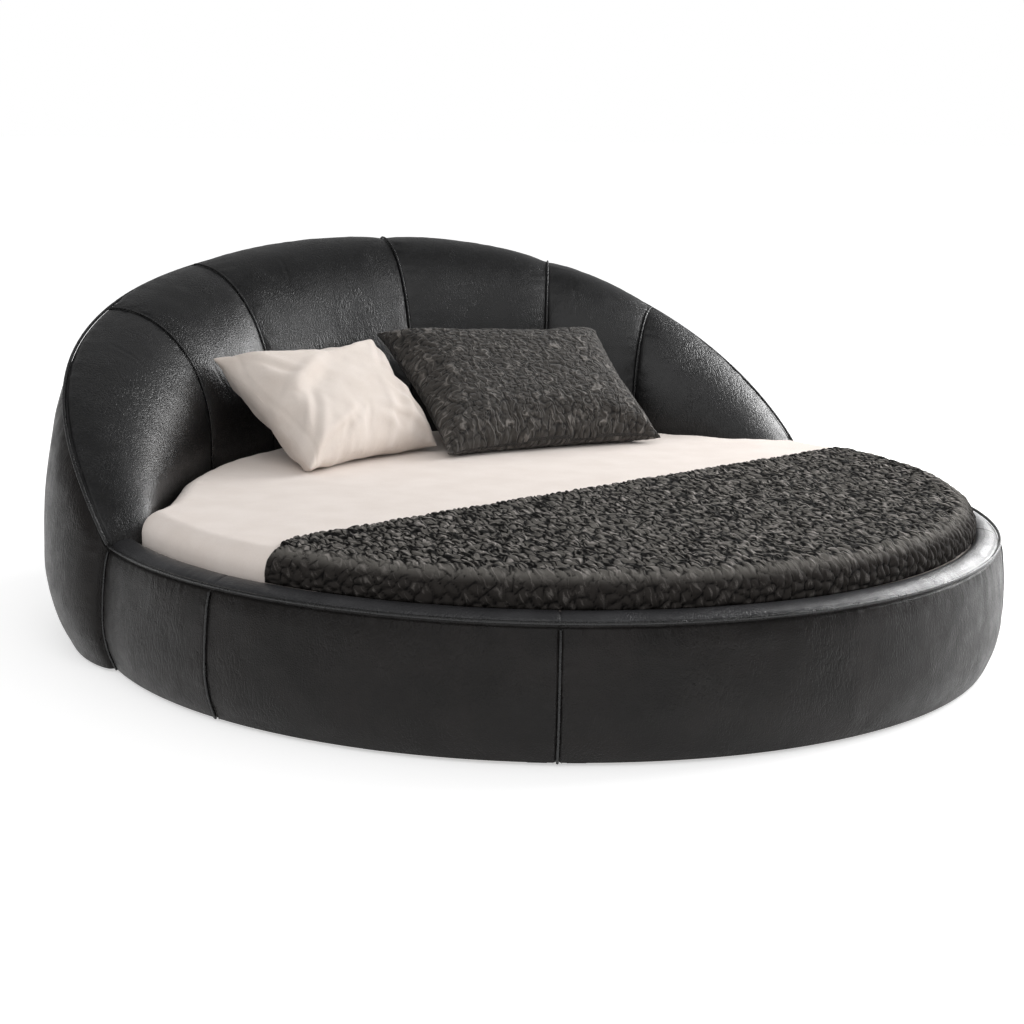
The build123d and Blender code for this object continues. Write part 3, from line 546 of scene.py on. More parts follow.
def crinkled(name, settings, groove_painted_shade, ridge, tip_painted_highlight, blister, wander_by):
    """A blistered jacquard: wavy raised ridges between sunken stitches, in pebbles where it hangs.

    blister is the width and length of one ridge."""
    material, tree, surface = new_material(name, settings)
    place = cloth_place(tree)
    wander = warped(tree, place, 24, wander_by)
    drawn = add(tree, "ShaderNodeMapping", {"Scale": (1 / blister[0], 1 / blister[1], 1.0)},
                {"Vector": wander}).outputs[0]
    ridges = add(tree, "ShaderNodeTexVoronoi", {"feature": "DISTANCE_TO_EDGE", "Scale": 1.0},
                 {"Vector": drawn})
    body = ranged(tree, ridges.outputs["Distance"], 0.0, 0.34)
    noise = add(tree, "ShaderNodeTexNoise", {"Scale": 0.62, "Detail": 2, "Roughness": 0.5}, {"Vector": drawn})
    centred = add(tree, "ShaderNodeMath", {"operation": "SUBTRACT", 1: 0.5}, {0: noise.outputs[0]}).outputs[0]
    away = add(tree, "ShaderNodeMath", {"operation": "ABSOLUTE"}, {0: centred}).outputs[0]
    relief = add(tree, "ShaderNodeAttribute", {"attribute_name": "relief"}).outputs["Fac"]
    hanging = add(tree, "ShaderNodeAttribute", {"attribute_name": "hanging"}).outputs["Fac"]
    flat_share = ranged(tree, hanging, 0.0, 1.0, 1.0, 0.3)
    # Thin lines along the crests are marked for a painted highlight, fewer where the cloth hangs
    crest = add(tree, "ShaderNodeMath", {"operation": "MULTIPLY"},
                {0: ranged(tree, away, 0.0, 0.06, 1.0, 0.0), 1: flat_share}).outputs[0]
    yarn = add(tree, "ShaderNodeTexNoise", {"Scale": 420, "Detail": 3, "Roughness": 0.7},
               {"Vector": place}).outputs[0]
    mixed = add(tree, "ShaderNodeMix", {"data_type": "FLOAT"}, {0: hanging, 2: body, 3: relief}).outputs[0]
    height = weighed(tree, weighed(tree, mixed, crest, 0.4), yarn, 0.15)
    bump = add(tree, "ShaderNodeBump", {"Strength": 1.0, "Distance": 0.0055}, {"Height": height})
    tree.links.new(bump.outputs[0], surface.inputs["Normal"])
    # Where the cloth hangs down the side its ridges are painted darker, a painted shade for the side turned
    # away from the light
    hanging_painted_shade = colour_mix(tree, ranged(tree, hanging, 0.4, 1.0), ridge, linear("#2B2826"))
    # Low places of the relief take the near-black groove colour, a painted shade in the sunken stitches
    ground = {0: ranged(tree, weighed(tree, mixed, yarn, 0.25), 0.12, 0.55), 7: hanging_painted_shade}
    low_colour = add(tree, "ShaderNodeMix", {"data_type": "RGBA", 6: groove_painted_shade}, ground).outputs[2]
    # The crests are painted towards the pale tip colour as a painted highlight, mixed with a real speckle of
    # yarn
    lit = add(tree, "ShaderNodeMath", {"operation": "MULTIPLY"}, {0: crest, 1: mixed}).outputs[0]
    painted_highlight_and_yarn = weighed(tree, lit, yarn, 0.5)
    high_colour = add(tree, "ShaderNodeMix", {"data_type": "RGBA", 7: tip_painted_highlight},
                      {0: ranged(tree, painted_highlight_and_yarn, 0.3, 1.1), 6: low_colour})
    tree.links.new(high_colour.outputs[2], surface.inputs["Base Color"])
    return material


def wood(name, settings, first, second, ring, stretch):
    """Sanded timber: grain drawn out along the board, with darker late wood."""
    material, tree, surface = new_material(name, settings)
    place = object_place(tree)
    drawn = add(tree, "ShaderNodeMapping", {"Scale": stretch}, {"Vector": place}).outputs[0]
    wander = warped(tree, drawn, 4, 0.05)
    rings = add(tree, "ShaderNodeTexWave",
                {"bands_direction": "Z", "Scale": 1 / ring, "Distortion": 2.5, "Detail": 3},
                {"Vector": wander})
    fibre = add(tree, "ShaderNodeTexNoise", {"Scale": 240, "Detail": 3}, {"Vector": drawn})
    share = weighed(tree, rings.outputs["Fac"], fibre.outputs[0], 0.35)
    tree.links.new(colour_mix(tree, ranged(tree, share, 0.2, 1.1), first, second),
                   surface.inputs["Base Color"])
    bump = add(tree, "ShaderNodeBump", {"Strength": 0.25, "Distance": 0.0004}, {"Height": share})
    tree.links.new(bump.outputs[0], surface.inputs["Normal"])
    return material


def speckled(name, settings, grain, first, second, depth, rough_low, rough_high):
    """A fine even grain, as on a powder coat, zinc plate, felt or moulded plastic."""
    material, tree, surface = new_material(name, settings)
    noise = add(tree, "ShaderNodeTexNoise", {"Scale": 1 / grain, "Detail": 3}, {"Vector": object_place(tree)})
    tree.links.new(colour_mix(tree, noise.outputs[0], first, second), surface.inputs["Base Color"])
    tree.links.new(ranged(tree, noise.outputs[0], 0.3, 0.7, rough_low, rough_high),
                   surface.inputs["Roughness"])
    bump = add(tree, "ShaderNodeBump", {"Strength": depth, "Distance": grain / 3},
               {"Height": noise.outputs[0]})
    tree.links.new(bump.outputs[0], surface.inputs["Normal"])
    return material


def finish_of(name):
    """A material that an earlier operator made."""
    return bpy.data.materials[name]


# Geometry Nodes for what follows a seam

def seam_tree(name, sockets):
    tree = bpy.data.node_groups.new(name, "GeometryNodeTree")
    tree.interface.new_socket("Seam line", in_out="INPUT", socket_type="NodeSocketGeometry")
    for label, kind in sockets:
        tree.interface.new_socket(label, in_out="INPUT", socket_type=kind)
    tree.interface.new_socket("Geometry", in_out="OUTPUT", socket_type="NodeSocketGeometry")
    tree.is_modifier = True
    entry = add(tree, "NodeGroupInput")
    curve = add(tree, "GeometryNodeMeshToCurve", links={"Mesh": entry.outputs["Seam line"]})
    return tree, entry, curve.outputs[0]


def ending(tree, geometry, material):
    """The last nodes of each tree: real geometry with its material."""
    real = add(tree, "GeometryNodeRealizeInstances", links={"Geometry": geometry})
    smooth = add(tree, "GeometryNodeSetShadeSmooth", links={"Geometry": real.outputs[0]})
    dressed = add(tree, "GeometryNodeSetMaterial",
                  links={"Geometry": smooth.outputs[0], "Material": material})
    add(tree, "NodeGroupOutput", links={"Geometry": dressed.outputs[0]})


def welt_tree():
    """A cord wrapped in leather along each seam line, with small gathers in the leather."""
    sockets = (
        ("Radius", "NodeSocketFloat"), ("Step", "NodeSocketFloat"), ("Gather depth", "NodeSocketFloat"),
        ("Gather width", "NodeSocketFloat"), ("Material", "NodeSocketMaterial"),
    )
    tree, entry, curve = seam_tree("Welt along a seam", sockets)
    spaced = add(tree, "GeometryNodeResampleCurve", {"mode": "LENGTH"},
                 {"Curve": curve, "Length": entry.outputs["Step"]})
    circle = add(tree, "GeometryNodeCurvePrimitiveCircle", {"Resolution": 12},
                 {"Radius": entry.outputs["Radius"]})
    tube = add(tree, "GeometryNodeCurveToMesh", {"Fill Caps": True},
               {"Curve": spaced.outputs[0], "Profile Curve": circle.outputs[0]})
    place = add(tree, "GeometryNodeInputPosition")
    rate = add(tree, "ShaderNodeMath", {"operation": "DIVIDE", 0: 1.0}, {1: entry.outputs["Gather width"]})
    noise = add(tree, "ShaderNodeTexNoise", {"Detail": 1},
                {"Vector": place.outputs[0], "Scale": rate.outputs[0]})
    centred = add(tree, "ShaderNodeMath", {"operation": "SUBTRACT", 1: 0.55}, {0: noise.outputs[0]})
    depth = add(tree, "ShaderNodeMath", {"operation": "MULTIPLY"},
                {0: centred.outputs[0], 1: entry.outputs["Gather depth"]})
    normal = add(tree, "GeometryNodeInputNormal")
    offset = add(tree, "ShaderNodeVectorMath", {"operation": "SCALE"},
                 {0: normal.outputs[0], "Scale": depth.outputs[0]})
    moved = add(tree, "GeometryNodeSetPosition",
                links={"Geometry": tube.outputs[0], "Offset": offset.outputs[0]})
    ending(tree, moved.outputs[0], entry.outputs["Material"])
    return tree


def stitch_tree():
    """Stitches of thread, one after the other along each seam line."""
    sockets = (
        ("Pitch", "NodeSocketFloat"), ("Length", "NodeSocketFloat"), ("Thread", "NodeSocketFloat"),
        ("Material", "NodeSocketMaterial"),
    )
    tree, entry, curve = seam_tree("Stitches along a seam", sockets)
    spaced = add(tree, "GeometryNodeResampleCurve", {"mode": "LENGTH"},
                 {"Curve": curve, "Length": entry.outputs["Pitch"]})
    bead = add(tree, "GeometryNodeMeshUVSphere", {"Segments": 6, "Rings": 4, "Radius": 0.5})
    size = add(tree, "ShaderNodeCombineXYZ",
               links={0: entry.outputs["Thread"], 1: entry.outputs["Thread"], 2: entry.outputs["Length"]})
    along = add(tree, "GeometryNodeInputTangent")
    turn = add(tree, "FunctionNodeAlignRotationToVector", {"axis": "Z"}, {"Vector": along.outputs[0]})
    stitches = add(tree, "GeometryNodeInstanceOnPoints", links={
        "Points": spaced.outputs[0], "Instance": bead.outputs[0], "Rotation": turn.outputs[0],
        "Scale": size.outputs[0],
    })
    ending(tree, stitches.outputs[0], entry.outputs["Material"])
    return tree


def along_seams(name, lines, tree, inputs, body):
    """Runs a seam tree along lines of points and keeps the result as a plain mesh."""
    points, edges = [], []
    for line in lines:
        first = len(points)
        points += [tuple(point) for point in line]
        edges += [(first + step, first + step + 1) for step in range(len(line) - 1)]
    mesh = bpy.data.meshes.new(name)
    mesh.from_pydata(points, edges, [])
    piece = bpy.data.objects.new(name, mesh)
    bpy.context.scene.collection.objects.link(piece)
    modifier = piece.modifiers.new("Seam", "NODES")
    modifier.node_group = tree
    for socket in tree.interface.items_tree:
        if socket.in_out == "INPUT" and socket.name in inputs:
            modifier[socket.identifier] = inputs[socket.name]
    evaluated = piece.evaluated_get(bpy.context.evaluated_depsgraph_get())
    result = bpy.data.meshes.new_from_object(evaluated)
    piece.modifiers.remove(modifier)
    piece.data = result
    if not len(result.polygons):
        raise RuntimeError(f"{name}: the seam tree made no faces")
    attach(piece, body)
    return piece


# Settings that a user would change

class RoundBedForm(bpy.types.PropertyGroup):
    crown: bpy.props.FloatProperty(
        name="Channel crown", description="How far the middle of a channel stands out from its seams",
        default=CROWN * MM, min=0, max=0.04, unit="LENGTH", subtype="DISTANCE")
    pucker: bpy.props.FloatProperty(
        name="Pucker depth", description="Depth of the short gathers beside each seam",
        default=1.5 * MM, min=0, max=0.004, unit="LENGTH", subtype="DISTANCE")
    welt_radius: bpy.props.FloatProperty(
        name="Welt radius", description="Half the thickness of the welts in the seams",
        default=3.0 * MM, min=0.001, max=0.005, unit="LENGTH", subtype="DISTANCE")
    piping_radius: bpy.props.FloatProperty(
        name="Piping radius", description="Half the thickness of the piping along the rim and the arch",
        default=4.0 * MM, min=0.001, max=0.006, unit="LENGTH", subtype="DISTANCE")
    stitch_pitch: bpy.props.FloatProperty(
        name="Stitch pitch", description="From one stitch to the next",
        default=7.0 * MM, min=0.003, max=0.015, unit="LENGTH", subtype="DISTANCE")


class RoundBedLeather(bpy.types.PropertyGroup):
    dark: bpy.props.FloatVectorProperty(
        name="Dark shade", description="Leather in its darker clouds", subtype="COLOR", size=4, min=0, max=1,
        default=linear("#0D0D0E"))
    light: bpy.props.FloatVectorProperty(
        name="Light shade", description="Leather in its lighter clouds", subtype="COLOR",
        size=4, min=0, max=1, default=linear("#151516"))
    outer_dark: bpy.props.FloatVectorProperty(
        name="Outer dark shade", description="Leather of the base and the back, darker clouds",
        subtype="COLOR", size=4, min=0, max=1, default=linear("#151312"))
    outer_light: bpy.props.FloatVectorProperty(
        name="Outer light shade", description="Leather of the base and the back, lighter clouds",
        subtype="COLOR", size=4, min=0, max=1, default=linear("#1D1A19"))
    pebble: bpy.props.FloatProperty(
        name="Grain", description="Width of one pebble of the grain",
        default=5.0 * MM, min=0.001, max=0.01, unit="LENGTH", subtype="DISTANCE")


class RoundBedBedding(bpy.types.PropertyGroup):
    sheet: bpy.props.FloatVectorProperty(
        name="Sheet", description="Colour of the fitted sheet", subtype="COLOR", size=4, min=0, max=1,
        default=linear("#E1D7D0"))
    light_pillow: bpy.props.FloatVectorProperty(
        name="Cream pillow", description="Colour of the cream pillow", subtype="COLOR", size=4, min=0, max=1,
        default=linear("#D7CDC5"))
    throw: bpy.props.FloatVectorProperty(
        name="Throw", description="Colour of the throw's ridges", subtype="COLOR", size=4, min=0, max=1,
        default=linear("#625F5B"))
    dark_pillow: bpy.props.FloatVectorProperty(
        name="Dark pillow", description="Colour of the dark pillow's ridges", subtype="COLOR",
        size=4, min=0, max=1, default=linear("#383532"))
    fold: bpy.props.FloatProperty(
        name="Fold depth", description="Depth of the soft folds down the side of the sheet",
        default=2.6 * MM, min=0, max=0.004, unit="LENGTH", subtype="DISTANCE")


class RoundBedStudio(bpy.types.PropertyGroup):
    sun: bpy.props.FloatProperty(
        name="Soft lamp", description="Strength of the wide soft lamp", default=0.9, min=0, max=10)
    soft_box: bpy.props.FloatProperty(
        name="Soft box", description="Power of the soft box at the right of the bed", default=260,
        min=0, max=1000, unit="POWER")
    high_box: bpy.props.FloatProperty(
        name="High soft box", description="Power of the small soft box above the right side of the bed",
        default=21, min=0, max=1000, unit="POWER")
    ambient: bpy.props.FloatProperty(
        name="Room light", description="Strength of the light from all around", default=0.55, min=0, max=2)


SETTINGS = (
    ("round_bed_form", RoundBedForm),
    ("round_bed_leather", RoundBedLeather),
    ("round_bed_bedding", RoundBedBedding),
    ("round_bed_studio", RoundBedStudio),
)


class ROUND_BED_OT_finishes(bpy.types.Operator):
    """Makes the materials of the leather, cloth, timber and metal"""
    bl_idname = "round_bed.finishes"
    bl_label = "Finishes"

    def execute(self, context):
        hide = context.scene.round_bed_leather
        cloth = context.scene.round_bed_bedding
        # Satin pigment finish: a soft, broad shine
        upright = (1.0, 1.0, 0.26)
        leather("Headboard leather", {"Specular IOR Level": 0.5}, hide.pebble, upright, hide.dark, hide.light,
                0.29, 0.4)
        # The rim's leather is painted paler than the rest of the hide, a painted sheen for the satin light
        # that its top catches
        leather("Rim leather with painted sheen", {"Specular IOR Level": 0.6}, hide.pebble, upright, linear("#2A2A2C"),
                linear("#363638"), 0.3, 0.4)
        leather("Outer leather", {"Specular IOR Level": 0.25}, hide.pebble, upright, hide.outer_dark,
                hide.outer_light, 0.34, 0.46)
        leather("Welt leather", {"Specular IOR Level": 0.6}, hide.pebble * 0.6, upright, hide.dark,
                hide.light, 0.24, 0.34)
        # Brushed cotton: matt, with a faint bloom
        woven("Cotton sheet", {"Roughness": 0.9, "Sheen Weight": 0.15, "Sheen Roughness": 0.5}, 0.0022,
              cloth.sheet, linear("#D9CEC6"), 0.2)
        # Linen and cotton mix: slubs in both directions
        woven("Linen pillow cloth", {"Roughness": 0.92, "Sheen Weight": 0.2, "Sheen Roughness": 0.5}, 0.0026,
              cloth.light_pillow, linear("#CFC4BB"), 0.45)
        woven("Knitted ticking", {"Roughness": 0.9, "Sheen Weight": 0.1}, 0.004,
              linear("#E9E6DF"), linear("#D8D4CB"), 0.5)
        # The throw and the dark pillow take near-black groove colours as painted shade and pale crest colours
        # as painted highlights
        crinkled("Blistered throw cloth", {"Roughness": 0.92, "Specular IOR Level": 0.15}, linear("#080707"),
                 cloth.throw, linear("#8F8A86"), (0.015, 0.055), 0.03)
        crinkled("Blistered pillow cloth",
                 {"Roughness": 0.85, "Sheen Weight": 0.1, "Specular IOR Level": 0.3},
                 linear("#0A0909"), cloth.dark_pillow, linear("#6E6A66"), (0.022, 0.04), 0.08)
        # Birch plywood and planed softwood, sanded and unfinished
        wood("Birch plywood", {"Roughness": 0.6}, linear("#CFAE7E"), linear("#E1C79B"), 0.018,
             (0.4, 0.4, 3.0))
        wood("Planed pine", {"Roughness": 0.62}, linear("#C99F63"), linear("#E4C48E"), 0.03, (0.15, 3.0, 1.0))
        speckled("Zinc plate", {"Metallic": 1.0}, 0.004, linear("#B9BCBD"), linear("#C9CCCD"),
                 0.1, 0.28, 0.42)
        speckled("Black powder coat", {"Specular IOR Level": 0.5}, 0.0012, linear("#141414"),
                 linear("#1E1E1E"), 0.3, 0.45, 0.6)
        speckled("Pressed felt", {"Sheen Weight": 0.4}, 0.0015, linear("#2F2F30"), linear("#454547"),
                 0.8, 0.92, 1.0)
        speckled("Moulded nylon", {"Specular IOR Level": 0.5}, 0.0008, linear("#121212"), linear("#181818"),
                 0.15, 0.45, 0.55)
        speckled("Bonded thread", {"Sheen Weight": 0.2}, 0.0008, linear("#1A1A1B"), linear("#262627"),
                 0.4, 0.6, 0.75)
        return {"FINISHED"}


def pucker_field(distance, along, reach, spacing, seed):
    """Short gathers that start at a seam and die away from it."""
    waves = lumps(along / spacing, distance / (6 * spacing), seed)
    return np.exp(-(distance / reach) ** 1.3) * waves


def seam_groove(distance):
    """The dark line beside a piping, where its flange is pulled into the seam."""
    return 2.6 * np.exp(-((distance - 5.5) / 3.6) ** 2)


def near_seam(distance, inset):
    """1 away from a seam, falling to 0 at it, so that relief leaves the seam where it is."""
    return 1 - np.exp(-(np.maximum(distance, 0) / inset) ** 2)


class ROUND_BED_OT_channel_pads(bpy.types.Operator):
    """Upholsters the six channels of the headboard"""
    bl_idname = "round_bed.channel_pads"
    bl_label = "Channel pads"

    def execute(self, context):
        form = context.scene.round_bed_form
        ends = (LEFT_END,) + SEAMS + (RIGHT_END,)
        for number in range(1, 7):
            first, last = ends[number - 1], ends[number]
            width = math.radians(first - last) * CHANNEL_RADIUS
            columns = int(width / 4.5) + 30
            share = np.linspace(0, 1, columns)
            share = 0.45 * share + 0.55 * (0.5 - 0.5 * np.cos(math.pi * share))
            bearing = first + (last - first) * share
            across = share * width
            from_first = across - VALLEY_HALF
            from_last = width - across - VALLEY_HALF
            if number == 1:
                near, reach, fade = from_last, 0.3 * width, share
            elif number == 6:
                near, reach, fade = from_first, 0.3 * width, 1 - share
            else:
                near, reach, fade = np.minimum(from_first, from_last), width / 2 - VALLEY_HALF, 1.0
            depth = 1 - np.clip(near / reach, 0, 1)
            crown = form.crown / MM * (1 - depth ** 2.3) ** 0.62 * fade
            front, along = even_steps(pad_front(bearing, crown), 190, 1.35)
            length = along[:, -1:]
            side = np.maximum(near, 0)[:, None]
            to_edge = length - along
            wide = np.radians(bearing)[:, None] * 950 + 0 * along
            relief = 1.3 * rough_lumps(wide / 120, along / 170, 10 + number)
            relief += 0.4 * lumps(wide / 34, along / 60, 20 + number)
            relief += form.pucker / MM * pucker_field(side + 0 * along, along, 34, 15, 30 + number)
            relief += 1.2 * form.pucker / MM * pucker_field(to_edge, wide, 26, 17, 40 + number)
            chance = np.random.default_rng(50 + number)
            for _ in range(4 if number == 1 else 2):
                start = (chance.uniform(wide.min() + 30, wide.max() - 30),
                         chance.uniform(360, length.max() - 60))
                run = (chance.uniform(-60, 60), chance.uniform(-220, -90))
                depth_here = chance.uniform(0.3, 0.7)
                relief += crease(wide, along, start, (start[0] + run[0], start[1] + run[1]),
                                 depth_here, 5.0, 60 + number)
            relief *= near_seam(side, 8) * near_seam(to_edge, 9) * near_seam(along, 30)
            relief -= seam_groove(to_edge) * near_seam(side, 8)
            front = lifted(placed(bearing, front), relief * MM)
            points, faces = closed_band(front, placed(bearing, pad_back(bearing)))
            name = f"channel_{number}_leather"
            piece = new_piece(name, points, faces, finish_of("Headboard leather"), "bed_frame",
                              sharp=60)
            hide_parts(f"headboard_channel_{number}")
        return {"FINISHED"}


def cover_relief(form, arc_place, along, seed, swells, wrinkles, top_gathers, side_gathers):
    """Relief in millimetres of a leather panel between two upright seams.

    Swells and wrinkles are a height and its reach round and up; gathers are a reach and a spacing."""
    to_edge = along[:, -1:] - along
    distance = np.minimum(np.abs(arc_place - arc_place[0]), np.abs(arc_place - arc_place[-1]))
    relief = swells[0] * rough_lumps(arc_place / swells[1], along / swells[2], seed)
    relief += wrinkles[0] * lumps(arc_place / wrinkles[1], along / wrinkles[2], seed + 1)
    relief += 1.3 * form.pucker / MM * pucker_field(to_edge, arc_place, *top_gathers, seed + 2)
    relief += form.pucker / MM * pucker_field(distance, along, *side_gathers, seed + 3)
    relief *= near_seam(distance, 9) * near_seam(to_edge, 9) * near_seam(along, 14)
    # The leather turns in at each upright seam
    relief -= 4.5 * np.exp(-(distance / 4.5) ** 2) * near_seam(to_edge, 8)
    return relief - seam_groove(to_edge)


def outer_cover(name, bearing, edge_shift, back, seed, form):
    """A leather cover over foam on the outside of the bed, between two upright seams."""
    profile = outer_front(bearing, 0, edge_point(bearing) + edge_shift)
    front, along = even_steps(profile, 130, 1.6)
    arc_place = np.radians(bearing)[:, None] * 1150 + 0 * along
    relief = cover_relief(form, arc_place, along, seed, (2.2, 150, 130), (0.7, 45, 70), (30, 13), (26, 15))
    front = lifted(placed(bearing, front), relief * MM)
    points, faces = closed_band(front, placed(bearing, back))
    piece = new_piece(name, points, faces, finish_of("Outer leather"), "bed_frame", sharp=60)
    return piece


def seam_to_seam(first, last, radius):
    """Bearings from one seam to the next, closer together near both."""
    columns = int(abs(math.radians(last - first)) * radius / 8) + 40
    share = np.linspace(0, 1, columns)
    share = 0.5 * share + 0.5 * (0.5 - 0.5 * np.cos(math.pi * share))
    return first + (last - first) * share


class ROUND_BED_OT_back_covers(bpy.types.Operator):
    """Covers the outside of the headboard with three leather panels"""
    bl_idname = "round_bed.back_covers"
    bl_label = "Back covers"

    def execute(self, context):
        form = context.scene.round_bed_form
        limits = ((BACK_SEAMS[0], LEFT_END), (BACK_SEAMS[1], BACK_SEAMS[0]), (RIGHT_END, BACK_SEAMS[1]))
        for number, (first, last) in enumerate(limits, start=1):
            bearing = seam_to_seam(first, last, 1200)
            inner = inner_edge_point(bearing) + BACK_GAP
            back, _ = even_steps(outer_front(bearing, -BACK_THICKNESS, inner), 14)
            piece = outer_cover(f"back_{number}_leather", bearing, BACK_GAP, back[:, ::-1],
                                100 + 10 * number, form)
            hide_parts(f"back_panel_{number}")
        return {"FINISHED"}


class ROUND_BED_OT_base_panels(bpy.types.Operator):
    """Covers the base with four leather panels and pads the rim above them"""
    bl_idname = "round_bed.base_panels"
    bl_label = "Base panels and rim"

    def execute(self, context):
        form = context.scene.round_bed_form
        for number in range(1, 5):
            first, last = PANEL_BEARINGS[number - 1], PANEL_BEARINGS[number]
            bearing = seam_to_seam(first, last, BULGE_RADIUS)
            flat = np.full(bearing.shape, LEFT_END)
            profile = outer_front(flat, 0, edge_point(flat))
            front, along = even_steps(profile, 84, 1.5)
            self.cover(form, number, bearing, front, along)
            self.rim(form, number, bearing)
        return {"FINISHED"}

    def cover(self, form, number, bearing, front, along):
        seed = 200 + 10 * number
        arc_place = np.radians(bearing)[:, None] * BULGE_RADIUS + 0 * along
        relief = cover_relief(form, arc_place, along, seed, (1.7, 120, 110), (0.6, 40, 60),
                              (30, 11), (24, 14))
        front = lifted(placed(bearing, front), relief * MM)
        flat = np.ones(bearing.shape)
        back = np.stack([pair(PANEL_BACK * flat, height) for height in PANEL_BACK_HEIGHTS], axis=1)
        points, faces = closed_band(front, placed(bearing, back))
        piece = new_piece(f"side_{number}_leather", points, faces, finish_of("Outer leather"), "bed_frame",
                          sharp=60)
        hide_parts(f"side_panel_{number}")

    def rim(self, form, number, bearing):
        bearing = bearing[::-1]
        flat = np.ones(bearing.shape)
        crest = pair(RIM_CREST[0] * flat, RIM_CREST[1])
        seam = pair(RIM_SEAM * flat, RIM_SEAM_HEIGHT + 0.4)
        roll = crest - 12.0
        low = pair(RIM_INNER * flat, RIM_FLAP)
        profile = np.concatenate([
            straight(low, roll, 20)[:, :-1],
            arc(roll, (0.0, 1.0), crest, 12)[:, :-1],
            arc(crest, (1.0, 0.0), seam, 20),
        ], axis=1)
        front, along = even_steps(profile, 40)
        arc_place = np.radians(bearing)[:, None] * RIM_SEAM + 0 * along
        to_edge = along[:, -1:] - along
        distance = np.minimum(np.abs(arc_place - arc_place[0]), np.abs(arc_place - arc_place[-1]))
        relief = 0.8 * rough_lumps(arc_place / 90, along / 40, 300 + number)
        relief += 0.8 * form.pucker / MM * pucker_field(to_edge, arc_place, 24, 12, 310 + number)
        relief *= near_seam(distance, 7) * near_seam(to_edge, 8) * near_seam(along, 60)
        relief -= 2.5 * np.exp(-(distance / 3.5) ** 2) * near_seam(to_edge, 8)
        relief -= seam_groove(to_edge)
        front = lifted(placed(bearing, front), relief * MM)
        back = np.stack([pair(radius * flat, height) for radius, height in RIM_BACK], axis=1)
        points, faces = closed_band(front, placed(bearing, back))
        piece = new_piece(f"rim_{number}_leather", points, faces, finish_of("Rim leather with painted sheen"), "bed_frame",
                          sharp=60)
        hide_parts(f"rim_pad_{number}")


def channel_seam(bearing, stand):
    """The line of a welt in the valley between two channels."""
    place = np.array([bearing])
    face = face_radius(place)
    crest = crest_point(place)
    bend = bend_height(crest)
    top = pair(crest[..., 0], crest[..., 1] + stand)
    finish = edge_point(place) + (-6, stand)
    line = np.concatenate([
        straight(pair(face - stand, 250), pair(face - stand, bend), 20)[:, :-1],
        quarter(crest[..., 0], bend, crest[..., 0] - face + stand, top[..., 1] - bend, 90)[:, :-1],
        arc(top, (1.0, 0.0), finish, 16),
    ], axis=1)
    return placed(place, line)[0]


def upright_seam(bearing, profile_bearing, stand, beside=0.0, cut=11.0):
    """The line of a welt up the outside of the base or the back."""
    place = np.array([profile_bearing])
    line = outer_front(place, 0, edge_point(place))
    line, along = even_steps(line, 150)
    tangent = np.gradient(line, axis=1)
    tangent = tangent / np.linalg.norm(tangent, axis=-1, keepdims=True)
    line = line + np.stack([tangent[..., 1], -tangent[..., 0]], axis=-1) * stand
    line = line[:, along[0] < along[0][-1] - cut]
    turn = math.degrees(beside / BULGE_RADIUS)
    return placed(np.array([bearing + turn]), line)[0]


def arch_seam(over, out, count=420):
    """A line along the edge seam of the headboard, off it by some way up and out."""
    share = np.linspace(-1, 1, count)
    turn = np.sin(share * math.pi / 2)
    bearing = 0.9995 * np.where(turn < 0, -turn * RIGHT_END, turn * LEFT_END)
    centre = placed(bearing, edge_point(bearing)[:, None])[:, 0]
    along = np.gradient(centre, axis=0)
    along = along / np.linalg.norm(along, axis=1, keepdims=True)
    angle = np.radians(90 + bearing)
    outwards = np.stack([np.cos(angle), np.sin(angle), 0 * angle], axis=1)
    upwards = np.cross(outwards, along)
    upwards = upwards / np.linalg.norm(upwards, axis=1, keepdims=True)
    return centre + (outwards * out + upwards * over) * MM


def rim_seam(over, out, margin=0.4, count=400):
    bearing = np.linspace(LEFT_END + margin, 360 + RIGHT_END - margin, count)
    flat = np.ones(count)
    return placed(bearing, pair((RIM_SEAM + out) * flat, RIM_SEAM_HEIGHT + over)[:, None])[:, 0]


